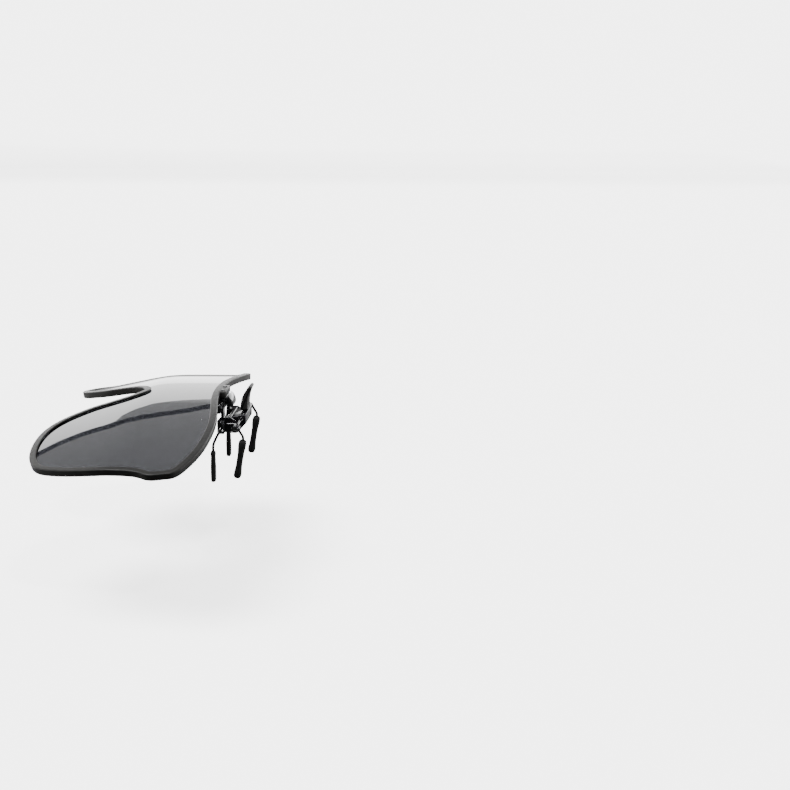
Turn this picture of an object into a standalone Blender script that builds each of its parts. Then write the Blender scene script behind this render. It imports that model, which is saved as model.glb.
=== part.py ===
"""Clip-on flip lenses: a tinted shield in a full rim, hinged on a spring clip that grips eyewear.

Frame: metres. +X is the wearer's left, -Y is forward, +Z is up. The origin is the middle of the
gap between the front and rear pads, where the bridge of the wearer's glasses is gripped. The
lens frame is drawn flipped up, level with the floor.
"""
import math

import bmesh
import bpy
from mathutils import Matrix, Vector

MM = 0.001
GAP = 0.3                    # clearance between pieces that touch on the real clip, mm

# Lens frame: its surface, and its outline as (x, forward distance from the top bar), mm
BAR_Y = -1.7                 # outer edge of the top bar
BAR_Z = 20.6                 # top of the top bar on the middle plane
FACE_RADIUS = 244.0          # sideways wrap of the shield
CURL_SLOPE = 0.225           # the shield curls down towards its lower edge, at this slope,
CURL_START = 24.5            # from about this forward distance,
CURL_BLEND = 4.0             # easing in over about this distance
TOP_EDGE = [(0, 1.2), (12.5, 0.6), (24.3, -1.0), (36.5, -2.3), (49.0, -1.7), (57.5, -0.3), (65.4, 2.5)]
SIDE_EDGE = [(69.5, 4.9), (70.3, 8.7), (71.1, 12.6), (68.6, 16.3), (67.7, 25.5), (64.4, 36.1), (61.0, 43.3)]
BOTTOM_EDGE = [(57.6, 47.9), (51.3, 50.8), (42.9, 52.2), (33.5, 52.2), (26.4, 50.8), (20.3, 47.9)]
NOTCH_EDGE = [(15.6, 43.6), (12.1, 39.6), (9.9, 34.8), (7.2, 29.7), (3.6, 26.5), (0, 25.2)]
OUTLINE_STEP = 2.0           # spacing of the rim's stations
RIM_WIDTH = 2.2
RIM_HEIGHT = 2.2
RIM_CHAMFER = 0.35
TILT_SIGN = -1.0              # the section leans with the shield's surface
GROOVE_DEPTH = 0.75
GROOVE_HEIGHT = 1.4
LENS_THICKNESS = 0.9
LENS_TUCK = 0.40             # how far the lens edge sits inside the rim's groove
LENS_COLUMNS = 84
LENS_ROWS = 10
LAND_HALF = 5.2              # widened stretch of the top bar over the hinge
LAND_BACK = -0.9
LAND_REACH = 2.0             # the land runs this far into the top bar

# Flip hinge (axis along X)
FLIP_Y = -2.9
FLIP_Z = 16.0
BARREL_R = 1.8
BORE_R = 0.85
SHAFT_R = 0.55
TAB_HALF = 4.3               # the lens frame's middle knuckle
WASHER_IN = 4.6
WASHER_OUT = 4.9
WASHER_R = 1.5
KNUCKLE_IN = 5.2             # the clip's outer knuckles
KNUCKLE_OUT = 9.0
HEAD_R = 1.5
HEAD_T = 0.9
COVER_IN_R = 2.1
COVER_OUT_R = 3.9
COVER_START = math.radians(50)
COVER_TURN = math.radians(25)
COVER_END = math.radians(-8)
TAB_SCREW_X = 3.0
TAB_SCREW_Y = -2.2
TAB_SCREW_R = 0.35
TAB_SCREW_BORE = 0.55
TAB_SCREW_HEAD_R = 0.6
TAB_SCREW_HEAD_T = 0.35
COUNTERBORE_R = 0.75
COUNTERBORE_DEPTH = 0.5

# Jaw pivot (axis along X) and the bracket
PIVOT_Y = 2.8
PIVOT_Z = 10.2
EAR_R = 1.5
WEB_TOP = 13.0
WEB_BOTTOM = 12.2
WEB_FRONT = -2.1
WEB_BACK = 1.0
WINDOW_BACK = 0.05           # the hinge cover swings through a window in the web
SHELF_HALF = 6.4             # the web's rear shelf, over the spring pin
SHELF_BACK = 3.2
ARM_T = 0.9
CHEEK_IN = 8.2
CHEEK_OUT = 9.0
EAR_IN = 7.0
EAR_OUT = 7.8
PIN_HEAD_IN = 11.75
PIN_HEAD_T = 0.6
PIN_HEAD_R = 1.2
WIRE_R = 0.4
WIRE_BORE = 0.7
EYE_R = 1.2                  # metal around a wire's hole

# Front prongs
FRONT_WIRE_Y = -1.8
FRONT_WIRE_Z = 9.6
CLAMP_IN = 9.3
CLAMP_OUT = 11.45
CLAMP_SCREW_Z = 11.6
PRONG_X = 17.0
FRONT_PAD_Y = -3.4
FRONT_PAD_T = 1.6
FRONT_PAD_W = 3.2
FRONT_PAD_TOP = 4.4
FRONT_PAD_BOTTOM = -5.3
PAD_BORE_R = 0.6

# Rear jaw
REAR_WIRE_Y = 4.1
REAR_WIRE_Z = 12.5
BACK_IN = 4.85
BACK_OUT = 5.55
BACK_LOW = 10.8
TONGUE_HALF = 2.6
TONGUE_TOP = 15.8
REAR_PAD_TOP = (5.85, 7.9)
REAR_PAD_BOTTOM = (3.85, -4.0)
REAR_PAD_W = 3.4
REAR_PAD_END_T = 2.4
REAR_PAD_WAIST_T = 1.9
LEVER_HALF = 3.6

# Jaw springs, on the pin outside the bracket's cheeks
SPRING_R = 1.15
SPRING_WIRE_R = 0.22
SPRING_TURNS = 3.5
SPRING_STEPS = 16            # stations in a turn

CLIP_BLACK = (0.028, 0.029, 0.032, 1.0)
RIM_BLACK = (0.030, 0.029, 0.027, 1.0)
PAD_BLACK = (0.022, 0.022, 0.023, 1.0)
LENS_GREY = (0.050, 0.055, 0.066, 0.45)
STEEL = (0.42, 0.42, 0.43, 1.0)

LENS_FRAME_NODES = ["rim_frame", "shield_lens", "lens_hinge_tab", "tab_screw_left", "tab_screw_right", "hinge_cover"]
REAR_JAW_NODES = ["rear_jaw_plate", "thumb_lever", "rear_prong_wire", "rear_pad_left", "rear_pad_right"]


def clear_scene():
    for item in list(bpy.data.objects):
        bpy.data.objects.remove(item, do_unlink=True)


def new_collection(name):
    group = bpy.data.collections.new(name)
    bpy.context.scene.collection.children.link(group)
    return group


def principled(name, colour, roughness, metallic):
    mat = bpy.data.materials.new(name)
    mat.use_nodes = True
    shader = mat.node_tree.nodes["Principled BSDF"]
    shader.inputs["Base Color"].default_value = colour
    shader.inputs["Roughness"].default_value = roughness
    shader.inputs["Metallic"].default_value = metallic
    shader.inputs["Alpha"].default_value = colour[3]
    mat.diffuse_color = colour
    return mat


def make_materials():
    return {
        "rim": principled("rim_satin_black", RIM_BLACK, 0.38, 0.0),
        "lens": principled("smoke_grey_lens", LENS_GREY, 0.05, 0.0),
        "clip": principled("black_nickel", CLIP_BLACK, 0.22, 0.85),
        "pad": principled("pad_rubber", PAD_BLACK, 0.75, 0.0),
        "lever": principled("lever_plastic", RIM_BLACK, 0.55, 0.0),
        "cover": principled("cover_gloss_black", RIM_BLACK, 0.12, 0.0),
        "screw": principled("dark_screw_steel", STEEL, 0.30, 1.0),
        "spring": principled("spring_steel", STEEL, 0.28, 1.0),
    }


def add_node(name, mesh, mat):
    """Put one finished mesh, in metres and at the frame's origin, in the part's collection."""
    mesh.name = name
    mesh.materials.clear()
    mesh.materials.append(mat)
    node = bpy.data.objects.new(name, mesh)
    PART.objects.link(node)
    return node


def mesh_from_curve(curve, matrix):
    """Turn a curve into a closed mesh in the frame's own axes."""
    holder = bpy.data.objects.new("holder", curve)
    bpy.context.scene.collection.objects.link(holder)
    depsgraph = bpy.context.evaluated_depsgraph_get()
    mesh = bpy.data.meshes.new_from_object(holder.evaluated_get(depsgraph))
    bpy.data.objects.remove(holder, do_unlink=True)
    mesh.transform(matrix)
    work = bmesh.new()
    work.from_mesh(mesh)
    bmesh.ops.remove_doubles(work, verts=work.verts, dist=0.004 * MM)
    bmesh.ops.recalc_face_normals(work, faces=work.faces)
    work.to_mesh(mesh)
    work.free()
    return mesh


def side_plate(outline, x_low, x_high):
    """Plate with a (y, z) outline in mm, from x_low to x_high."""
    curve = bpy.data.curves.new("plate", "CURVE")
    curve.dimensions = "2D"
    curve.fill_mode = "BOTH"
    curve.extrude = 0.5 * (x_high - x_low) * MM
    spline = curve.splines.new("POLY")
    spline.points.add(len(outline) - 1)
    for point, (y, z) in zip(spline.points, outline):
        point.co = (y * MM, z * MM, 0, 1)
    spline.use_cyclic_u = True
    turn = Matrix(((0, 0, 1, 0.5 * (x_low + x_high) * MM), (1, 0, 0, 0), (0, 1, 0, 0), (0, 0, 0, 1)))
    return mesh_from_curve(curve, turn)


def wire(points, radius):
    """Round wire along points in mm, with flat ends."""
    curve = bpy.data.curves.new("wire", "CURVE")
    curve.dimensions = "3D"
    curve.bevel_depth = radius * MM
    curve.bevel_resolution = 2
    curve.use_fill_caps = True
    spline = curve.splines.new("POLY")
    spline.points.add(len(points) - 1)
    for point, place in zip(spline.points, points):
        point.co = (*(Vector(place) * MM), 1)
    return mesh_from_curve(curve, Matrix.Identity(4))


def rounded_path(corners, radius, steps=5):
    """Polyline with each inner corner replaced by an arc-like curve of the given size, mm."""
    path = [Vector(corners[0])]
    for before, corner, after in zip(corners, corners[1:], corners[2:]):
        here = Vector(corner)
        back = (Vector(before) - here).normalized()
        ahead = (Vector(after) - here).normalized()
        reach = min(radius, 0.45 * (Vector(before) - here).length, 0.45 * (Vector(after) - here).length)
        start = here + back * reach
        end = here + ahead * reach
        for i in range(steps + 1):
            t = i / steps
            path.append(start * (1 - t) ** 2 + here * 2 * t * (1 - t) + end * t ** 2)
    path.append(Vector(corners[-1]))
    return path


def cylinder(radius, x_low, x_high, y, z, sides=32):
    """Cylinder along X as a bmesh primitive, mm."""
    work = bmesh.new()
    bmesh.ops.create_cone(work, cap_ends=True, segments=sides, radius1=radius * MM, radius2=radius * MM,
                          depth=(x_high - x_low) * MM)
    bmesh.ops.rotate(work, verts=work.verts, matrix=Matrix.Rotation(math.pi / 2, 3, "Y"))
    bmesh.ops.translate(work, verts=work.verts, vec=Vector((0.5 * (x_low + x_high), y, z)) * MM)
    mesh = bpy.data.meshes.new("cylinder")
    work.to_mesh(mesh)
    work.free()
    return mesh


def upright_cylinder(radius, x, y, z_low, z_high, sides=24):
    """Cylinder along Z as a bmesh primitive, mm."""
    work = bmesh.new()
    bmesh.ops.create_cone(work, cap_ends=True, segments=sides, radius1=radius * MM, radius2=radius * MM,
                          depth=(z_high - z_low) * MM)
    bmesh.ops.translate(work, verts=work.verts, vec=Vector((x, y, 0.5 * (z_low + z_high))) * MM)
    mesh = bpy.data.meshes.new("upright_cylinder")
    work.to_mesh(mesh)
    work.free()
    return mesh


def block(x_range, y_range, z_range):
    """Box between three pairs of limits, mm."""
    work = bmesh.new()
    bmesh.ops.create_cube(work, size=1.0)
    size = [high - low for low, high in (x_range, y_range, z_range)]
    middle = [0.5 * (high + low) for low, high in (x_range, y_range, z_range)]
    bmesh.ops.scale(work, verts=work.verts, vec=Vector(size) * MM)
    bmesh.ops.translate(work, verts=work.verts, vec=Vector(middle) * MM)
    mesh = bpy.data.meshes.new("block")
    work.to_mesh(mesh)
    work.free()
    return mesh


def combine(node, mesh, operation):
    """Live exact boolean on node, with its tool kept in the cutters collection."""
    tool = bpy.data.objects.new(node.name + "_tool_" + str(len(node.modifiers)), mesh)
    tool.hide_render = True
    tool.display_type = "WIRE"
    tool.parent = node
    CUTTERS.objects.link(tool)
    boolean = node.modifiers.new("shape", "BOOLEAN")
    boolean.operation = operation
    boolean.solver = "EXACT"
    boolean.object = tool


def join_to(node, mesh):
    combine(node, mesh, "UNION")


def cut_from(node, mesh):
    combine(node, mesh, "DIFFERENCE")


def ease_edges(node, width):
    """Small chamfer on the sharp edges of node."""
    bevel = node.modifiers.new("edges", "BEVEL")
    bevel.width = width * MM
    bevel.segments = 1
    bevel.limit_method = "ANGLE"
    bevel.angle_limit = math.radians(40)


def circle_points(y, z, radius, start=0.0, end=2 * math.pi, count=24):
    """Points in (y, z) along an arc, counted from +Y towards +Z."""
    turn = end - start
    return [(y + radius * math.cos(start + turn * i / count), z + radius * math.sin(start + turn * i / count))
            for i in range(count + (0 if abs(turn - 2 * math.pi) < 1e-6 else 1))]


def hull(points):
    """Convex outline round a set of (y, z) points."""
    ordered = sorted(set(points))
    chain = []
    for sweep in (ordered, ordered[::-1]):
        part = []
        for p in sweep:
            while len(part) > 1 and cross(part[-2], part[-1], p) <= 1e-9:
                part.pop()
            part.append(p)
        chain.extend(part[:-1])
    return chain


def cross(a, b, c):
    return (b[0] - a[0]) * (c[1] - a[1]) - (b[1] - a[1]) * (c[0] - a[0])


# ---- lens frame ------------------------------------------------------------------------------

def shield_z(x, depth):
    """Height of the rim's top face at (x, forward distance), mm."""
    past = depth - CURL_START
    curl = CURL_SLOPE * 0.5 * (past + math.hypot(past, CURL_BLEND))
    return BAR_Z - x * x / (2 * FACE_RADIUS) - curl


def soften(points, rounds=3):
    """Closed corner-cut curve through a control outline."""
    for _ in range(rounds):
        pairs = zip(points, points[1:] + points[:1])
        points = [p for a, b in pairs for p in (a.lerp(b, 0.25), a.lerp(b, 0.75))]
    return points


def evenly_spaced(points, count):
    """Closed outline resampled at equal distances, starting at its first point."""
    loop = points + points[:1]
    lengths = [(b - a).length for a, b in zip(loop, loop[1:])]
    step = sum(lengths) / count
    spaced = []
    travelled = 0.0
    for a, b, length in zip(loop, loop[1:], lengths):
        while len(spaced) < count and len(spaced) * step <= travelled + length:
            spaced.append(a.lerp(b, (len(spaced) * step - travelled) / length))
        travelled += length
    return spaced


def rim_outline():
    """Outer edge of the rim, from the middle of the top bar round by +X, as (x, depth) points."""
    half = TOP_EDGE + SIDE_EDGE + BOTTOM_EDGE + NOTCH_EDGE
    mirrored = [(-x, depth) for x, depth in half[-2:0:-1]]
    loop = soften([Vector(p) for p in half + mirrored])
    start = min(range(len(loop)), key=lambda i: abs(loop[i].x) + abs(loop[i].y))
    loop = loop[start:] + loop[:start]
    total = sum((b - a).length for a, b in zip(loop, loop[1:] + loop[:1]))
    return evenly_spaced(loop, 2 * round(total / (2 * OUTLINE_STEP)))


def inset(loop, distance):
    """Closed outline moved towards its inside."""
    moved = []
    for before, here, after in zip(loop[-1:] + loop[:-1], loop, loop[1:] + loop[:1]):
        along = (after - before).normalized()
        moved.append(here + Vector((-along.y, along.x)) * distance)
    return moved


def rim_profile():
    """Section of the rim: a chamfered bar with the lens groove on its inner side, as a curve."""
    half_w = 0.5 * RIM_WIDTH
    half_h = 0.5 * RIM_HEIGHT
    groove = half_w - GROOVE_DEPTH
    lip = 0.5 * GROOVE_HEIGHT
    side = [(half_w, lip), (half_w, half_h - RIM_CHAMFER), (half_w - RIM_CHAMFER, half_h)]
    outer = [(-half_w + RIM_CHAMFER, half_h), (-half_w, half_h - RIM_CHAMFER)]
    upper = [(groove, lip)] + side + outer
    points = upper + [(x, -y) for x, y in upper[::-1]]
    profile = bpy.data.curves.new("rim_profile", "CURVE")
    profile.dimensions = "2D"
    spline = profile.splines.new("POLY")
    spline.points.add(len(points) - 1)
    for point, (x, y) in zip(spline.points, points):
        point.co = (x * MM, y * MM, 0, 1)
    spline.use_cyclic_u = True
    return bpy.data.objects.new("rim_profile", profile)


def make_rim(outline, mats):
    profile = rim_profile()
    bpy.context.scene.collection.objects.link(profile)
    curve = bpy.data.curves.new("rim", "CURVE")
    curve.dimensions = "3D"
    curve.twist_mode = "Z_UP"
    curve.bevel_mode = "OBJECT"
    curve.bevel_object = profile
    spline = curve.splines.new("POLY")
    centre = inset(outline, 0.5 * RIM_WIDTH)
    spline.points.add(len(centre) - 1)
    for point, place, outer in zip(spline.points, centre, outline):
        height = shield_z(place.x, place.y) - 0.5 * RIM_HEIGHT
        rise = shield_z(place.x, place.y) - shield_z(outer.x, outer.y)
        point.co = (place.x * MM, (BAR_Y - place.y) * MM, height * MM, 1)
        point.tilt = TILT_SIGN * math.atan2(rise, 0.5 * RIM_WIDTH)
    spline.use_cyclic_u = True
    mesh = mesh_from_curve(curve, Matrix.Identity(4))
    bpy.data.objects.remove(profile, do_unlink=True)
    rim = add_node("rim_frame", mesh, mats["rim"])
    land_y = (BAR_Y - LAND_REACH, LAND_BACK)
    join_to(rim, block((-LAND_HALF, LAND_HALF), land_y, (BAR_Z - RIM_HEIGHT + 0.1, BAR_Z - 0.1)))
    for side in (1, -1):
        x = side * TAB_SCREW_X
        cut_from(rim, upright_cylinder(TAB_SCREW_BORE, x, TAB_SCREW_Y, BAR_Z - 4, BAR_Z - 0.2))
        cut_from(rim, upright_cylinder(COUNTERBORE_R, x, TAB_SCREW_Y, BAR_Z - COUNTERBORE_DEPTH, BAR_Z + 2))
    return rim


def make_lens(outline, mats):
    """Shield lens: a grid between the front and rear halves of the groove line, given thickness."""
    edge = inset(outline, RIM_WIDTH - LENS_TUCK)
    half = len(edge) // 2
    right = max(range(half), key=lambda i: edge[i].x)
    left = len(edge) - right
    top = [edge[i % len(edge)] for i in range(left, len(edge) + right + 1)]
    bottom = [edge[i] for i in range(left, right - 1, -1)]
    work = bmesh.new()
    bmesh.ops.create_grid(work, x_segments=LENS_COLUMNS, y_segments=LENS_ROWS, size=0.5)
    for vert in work.verts:
        a = along(top, vert.co.x + 0.5)
        b = along(bottom, vert.co.x + 0.5)
        place = a.lerp(b, vert.co.y + 0.5)
        height = shield_z(place.x, place.y) - 0.5 * RIM_HEIGHT
        vert.co = Vector((place.x, BAR_Y - place.y, height)) * MM
    bmesh.ops.remove_doubles(work, verts=work.verts, dist=0.02 * MM)
    bmesh.ops.recalc_face_normals(work, faces=work.faces)
    mesh = bpy.data.meshes.new("lens")
    work.to_mesh(mesh)
    work.free()
    lens = add_node("shield_lens", mesh, mats["lens"])
    shell = lens.modifiers.new("thickness", "SOLIDIFY")
    shell.thickness = LENS_THICKNESS * MM
    shell.offset = 0
    return lens


def along(points, t):
    """Point at share t of the length of an open outline."""
    lengths = [(b - a).length for a, b in zip(points, points[1:])]
    left = t * sum(lengths)
    for a, b, length in zip(points, points[1:], lengths):
        if left <= length:
            return a.lerp(b, left / length)
        left -= length
    return points[-1].copy()


def make_lens_hinge(mats):
    barrel = add_node("lens_hinge_tab", cylinder(BARREL_R, -TAB_HALF, TAB_HALF, FLIP_Y, FLIP_Z), mats["clip"])
    plate_top = BAR_Z - RIM_HEIGHT - GAP - 0.1
    front = BAR_Y - RIM_WIDTH
    join_to(barrel, block((-TAB_HALF, TAB_HALF), (front, LAND_BACK - 0.4), (FLIP_Z + 0.9, plate_top)))
    cut_from(barrel, cylinder(BORE_R, -TAB_HALF - 1, TAB_HALF + 1, FLIP_Y, FLIP_Z))
    for side, word in ((1, "left"), (-1, "right")):
        x = side * TAB_SCREW_X
        cut_from(barrel, upright_cylinder(TAB_SCREW_BORE, x, TAB_SCREW_Y, FLIP_Z + 1.05, plate_top + 1))
        head_low = BAR_Z - COUNTERBORE_DEPTH + GAP
        screw = add_node("tab_screw_" + word, upright_cylinder(
            TAB_SCREW_R, x, TAB_SCREW_Y, FLIP_Z + 1.25, head_low + 0.1), mats["screw"])
        join_to(screw, upright_cylinder(TAB_SCREW_HEAD_R, x, TAB_SCREW_Y, head_low, head_low + TAB_SCREW_HEAD_T))
    section = circle_points(FLIP_Y, FLIP_Z, COVER_OUT_R, COVER_START, COVER_END, 12)
    section += circle_points(FLIP_Y, FLIP_Z, COVER_IN_R, COVER_END, COVER_TURN, 6)
    section += [(LAND_BACK, plate_top + 0.05), (LAND_BACK + GAP, BAR_Z - RIM_HEIGHT - 0.2)]
    cover = add_node("hinge_cover", side_plate(section, -TAB_HALF, TAB_HALF), mats["cover"])
    ease_edges(cover, 0.12)


# ---- clip base -------------------------------------------------------------------------------

def make_bracket(mats):
    inside = CHEEK_OUT - 0.2
    web = block((-inside, inside), (WEB_FRONT, WEB_BACK), (WEB_BOTTOM, WEB_TOP))
    bracket = add_node("clip_bracket", web, mats["clip"])
    wire_eye = circle_points(FRONT_WIRE_Y, FRONT_WIRE_Z, EYE_R)
    pin_eye = circle_points(PIVOT_Y, PIVOT_Z, EAR_R)
    crown = WEB_TOP + 0.15
    cheek = hull(wire_eye + pin_eye + [(WEB_FRONT - 0.6, crown - 0.5), (WEB_FRONT - 0.1, crown), (WEB_BACK, crown)])
    for side in (1, -1):
        low, high = sorted((side * CHEEK_IN, side * CHEEK_OUT))
        join_to(bracket, side_plate(cheek, low, high))
        low, high = sorted((side * (KNUCKLE_IN + 0.1), side * (KNUCKLE_OUT - 0.1)))
        arm_front = WEB_FRONT + 0.07
        join_to(bracket, block((low, high), (arm_front, arm_front + ARM_T), (WEB_BOTTOM + 0.1, FLIP_Z)))
        low, high = sorted((side * KNUCKLE_IN, side * KNUCKLE_OUT))
        join_to(bracket, cylinder(BARREL_R, low, high, FLIP_Y, FLIP_Z))
    reach = CHEEK_OUT + 1
    join_to(bracket, block((-SHELF_HALF, SHELF_HALF), (WEB_BACK - 0.2, SHELF_BACK), (WEB_BOTTOM + 0.1, WEB_TOP - 0.1)))
    window = KNUCKLE_IN - GAP
    cut_from(bracket, block((-window, window), (WEB_FRONT - 1, WINDOW_BACK), (WEB_BOTTOM - 1, WEB_TOP + 0.5)))
    cut_from(bracket, cylinder(BORE_R, -reach, reach, FLIP_Y, FLIP_Z))
    cut_from(bracket, cylinder(BORE_R, -reach, reach, PIVOT_Y, PIVOT_Z))
    cut_from(bracket, cylinder(WIRE_BORE, -reach, reach, FRONT_WIRE_Y, FRONT_WIRE_Z, 24))
    cut_from(bracket, cylinder(WIRE_BORE, -reach, reach, FRONT_WIRE_Y, CLAMP_SCREW_Z, 24))


def make_hinge_pins(mats):
    screw = add_node("flip_hinge_screw", cylinder(SHAFT_R, -10.9, KNUCKLE_OUT + 0.5, FLIP_Y, FLIP_Z, 24),
                     mats["screw"])
    head_in = KNUCKLE_OUT + GAP
    join_to(screw, cylinder(HEAD_R, head_in, head_in + HEAD_T, FLIP_Y, FLIP_Z))
    slot_x = (head_in + 0.55 * HEAD_T, head_in + HEAD_T + 1)
    cut_from(screw, block(slot_x, (FLIP_Y - 2, FLIP_Y + 2), (FLIP_Z - 0.18, FLIP_Z + 0.18)))
    nut = add_node("flip_hinge_nut", cylinder(1.6, -head_in - 1.1, -head_in, FLIP_Y, FLIP_Z, 6), mats["screw"])
    cut_from(nut, cylinder(BORE_R, -head_in - 2, -head_in + 1, FLIP_Y, FLIP_Z, 24))
    for side, word in ((1, "left"), (-1, "right")):
        low, high = sorted((side * WASHER_IN, side * WASHER_OUT))
        washer = add_node("hinge_washer_" + word, cylinder(WASHER_R, low, high, FLIP_Y, FLIP_Z), mats["screw"])
        cut_from(washer, cylinder(BORE_R, low - 1, high + 1, FLIP_Y, FLIP_Z, 24))
    pin_end = PIN_HEAD_IN + PIN_HEAD_T
    pin = add_node("jaw_pivot_pin", cylinder(SHAFT_R, -pin_end, PIN_HEAD_IN + 0.2, PIVOT_Y, PIVOT_Z, 24),
                   mats["screw"])
    join_to(pin, cylinder(PIN_HEAD_R, PIN_HEAD_IN, pin_end, PIVOT_Y, PIVOT_Z))
    cap = add_node("pivot_pin_cap", cylinder(PIN_HEAD_R, -pin_end, -PIN_HEAD_IN, PIVOT_Y, PIVOT_Z), mats["screw"])
    cut_from(cap, cylinder(BORE_R, -pin_end - 1, -PIN_HEAD_IN + 1, PIVOT_Y, PIVOT_Z, 24))


def make_springs(mats):
    """Torsion springs on the pin: a short leg forward to the clamp and one up beside the rear wire."""
    for side, word in ((1, "left"), (-1, "right")):
        path = [Vector((side * 9.75, -0.1, PIVOT_Z + SPRING_R)), Vector((side * 9.75, 1.6, PIVOT_Z + SPRING_R))]
        count = int(SPRING_TURNS * SPRING_STEPS)
        for i in range(count + 1):
            angle = math.pi / 2 - 2 * math.pi * i / SPRING_STEPS
            x = side * (9.75 + 1.45 * i / count)
            path.append(Vector((x, PIVOT_Y + SPRING_R * math.cos(angle), PIVOT_Z + SPRING_R * math.sin(angle))))
        path.append(Vector((side * 11.2, PIVOT_Y - 1.5, PIVOT_Z - SPRING_R)))
        add_node("jaw_spring_" + word, wire(path, SPRING_WIRE_R), mats["spring"])


def make_front_prongs(mats):
    half = [(PRONG_X - 0.6, FRONT_WIRE_Y - 0.3, FRONT_WIRE_Z - 0.4), (PRONG_X, FRONT_PAD_Y + 0.1, FRONT_PAD_TOP + 2.2),
            (PRONG_X, FRONT_PAD_Y, FRONT_PAD_TOP + 0.6), (PRONG_X, FRONT_PAD_Y, FRONT_PAD_BOTTOM + 1.0)]
    corners = [(-x, y, z) for x, y, z in half[::-1]] + [(x, y, z) for x, y, z in half]
    corners.insert(len(half), (-PRONG_X + 2.6, FRONT_WIRE_Y, FRONT_WIRE_Z))
    corners.insert(len(half) + 1, (PRONG_X - 2.6, FRONT_WIRE_Y, FRONT_WIRE_Z))
    add_node("front_prong_wire", wire(rounded_path(corners, 1.2), WIRE_R), mats["clip"])
    half_w = 0.5 * FRONT_PAD_W
    half_t = 0.5 * FRONT_PAD_T
    for side, word in ((1, "left"), (-1, "right")):
        x = side * PRONG_X
        pad = add_node("front_pad_" + word, block(
            (x - half_w, x + half_w), (FRONT_PAD_Y - half_t, FRONT_PAD_Y + half_t), (FRONT_PAD_BOTTOM, FRONT_PAD_TOP)),
            mats["pad"])
        ease_edges(pad, 0.35)
        cut_from(pad, upright_cylinder(PAD_BORE_R, x, FRONT_PAD_Y, FRONT_PAD_BOTTOM + 0.7, FRONT_PAD_TOP + 1, 16))
        low, high = sorted((side * CLAMP_IN, side * CLAMP_OUT))
        clamp = add_node("wire_clamp_" + word, block(
            (low, high), (FRONT_WIRE_Y - 1.1, FRONT_WIRE_Y + 1.1), (FRONT_WIRE_Z - 1.2, CLAMP_SCREW_Z + 1.05)),
            mats["clip"])
        ease_edges(clamp, 0.25)
        cut_from(clamp, cylinder(WIRE_BORE, low - 1, high + 1, FRONT_WIRE_Y, FRONT_WIRE_Z, 24))
        cut_from(clamp, cylinder(WIRE_BORE, low - 1, high + 1, FRONT_WIRE_Y, CLAMP_SCREW_Z, 24))
        low, high = sorted((side * (CHEEK_IN + 0.1), side * (CLAMP_OUT + GAP + 0.2)))
        screw = add_node("clamp_screw_" + word, cylinder(WIRE_R, low, high, FRONT_WIRE_Y, CLAMP_SCREW_Z, 16),
                         mats["screw"])
        low, high = sorted((side * (CLAMP_OUT + GAP), side * (CLAMP_OUT + GAP + 0.55)))
        join_to(screw, cylinder(0.95, low, high, FRONT_WIRE_Y, CLAMP_SCREW_Z, 24))


# ---- rear jaw --------------------------------------------------------------------------------

def make_rear_jaw(mats):
    inside = EAR_OUT - 0.1
    back_top = REAR_WIRE_Z + 1.3
    plate = add_node("rear_jaw_plate", block((-inside, inside), (BACK_IN, BACK_OUT), (BACK_LOW, back_top)),
                     mats["clip"])
    rear = BACK_OUT - 0.1
    corner = [(rear, back_top - 0.1), (rear, BACK_LOW + 0.1), (BACK_IN + 0.1, back_top - 0.1)]
    ear = hull(circle_points(PIVOT_Y, PIVOT_Z, EAR_R) + circle_points(REAR_WIRE_Y, REAR_WIRE_Z, EYE_R) + corner)
    for side in (1, -1):
        low, high = sorted((side * EAR_IN, side * EAR_OUT))
        join_to(plate, side_plate(ear, low, high))
    shelf = REAR_WIRE_Z + 0.7
    tongue = [(rear, shelf - 0.4), (rear, shelf + 0.7), (REAR_WIRE_Y + 0.6, shelf + 0.7),
              (REAR_WIRE_Y + 0.6, TONGUE_TOP), (REAR_WIRE_Y - 0.1, TONGUE_TOP), (REAR_WIRE_Y - 0.1, shelf),
              (BACK_IN + 0.1, shelf), (BACK_IN + 0.1, shelf - 0.4)]
    join_to(plate, side_plate(tongue, -TONGUE_HALF, TONGUE_HALF))
    reach = EAR_OUT + 1
    cut_from(plate, cylinder(BORE_R, -reach, reach, PIVOT_Y, PIVOT_Z))
    cut_from(plate, cylinder(WIRE_BORE, -reach, reach, REAR_WIRE_Y, REAR_WIRE_Z, 24))
    make_thumb_lever(mats)
    make_rear_prongs(mats)


def make_thumb_lever(mats):
    """Curved horn moulded over the jaw plate's tongue."""
    front = [(3.35, 14.3), (3.4, 16.2), (3.9, 18.3), (4.9, 20.3), (6.3, 22.0)]
    back = [(7.1, 21.5), (6.2, 19.6), (5.7, 17.6), (5.6, 15.6), (5.9, 14.3)]
    lever = add_node("thumb_lever", side_plate(front + back, -LEVER_HALF, LEVER_HALF), mats["lever"])
    ease_edges(lever, 0.3)
    pocket_y = (REAR_WIRE_Y - 0.1 - GAP, REAR_WIRE_Y + 0.6 + GAP)
    pocket_x = TONGUE_HALF + GAP
    cut_from(lever, block((-pocket_x, pocket_x), pocket_y, (13.0, TONGUE_TOP + GAP)))


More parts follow.
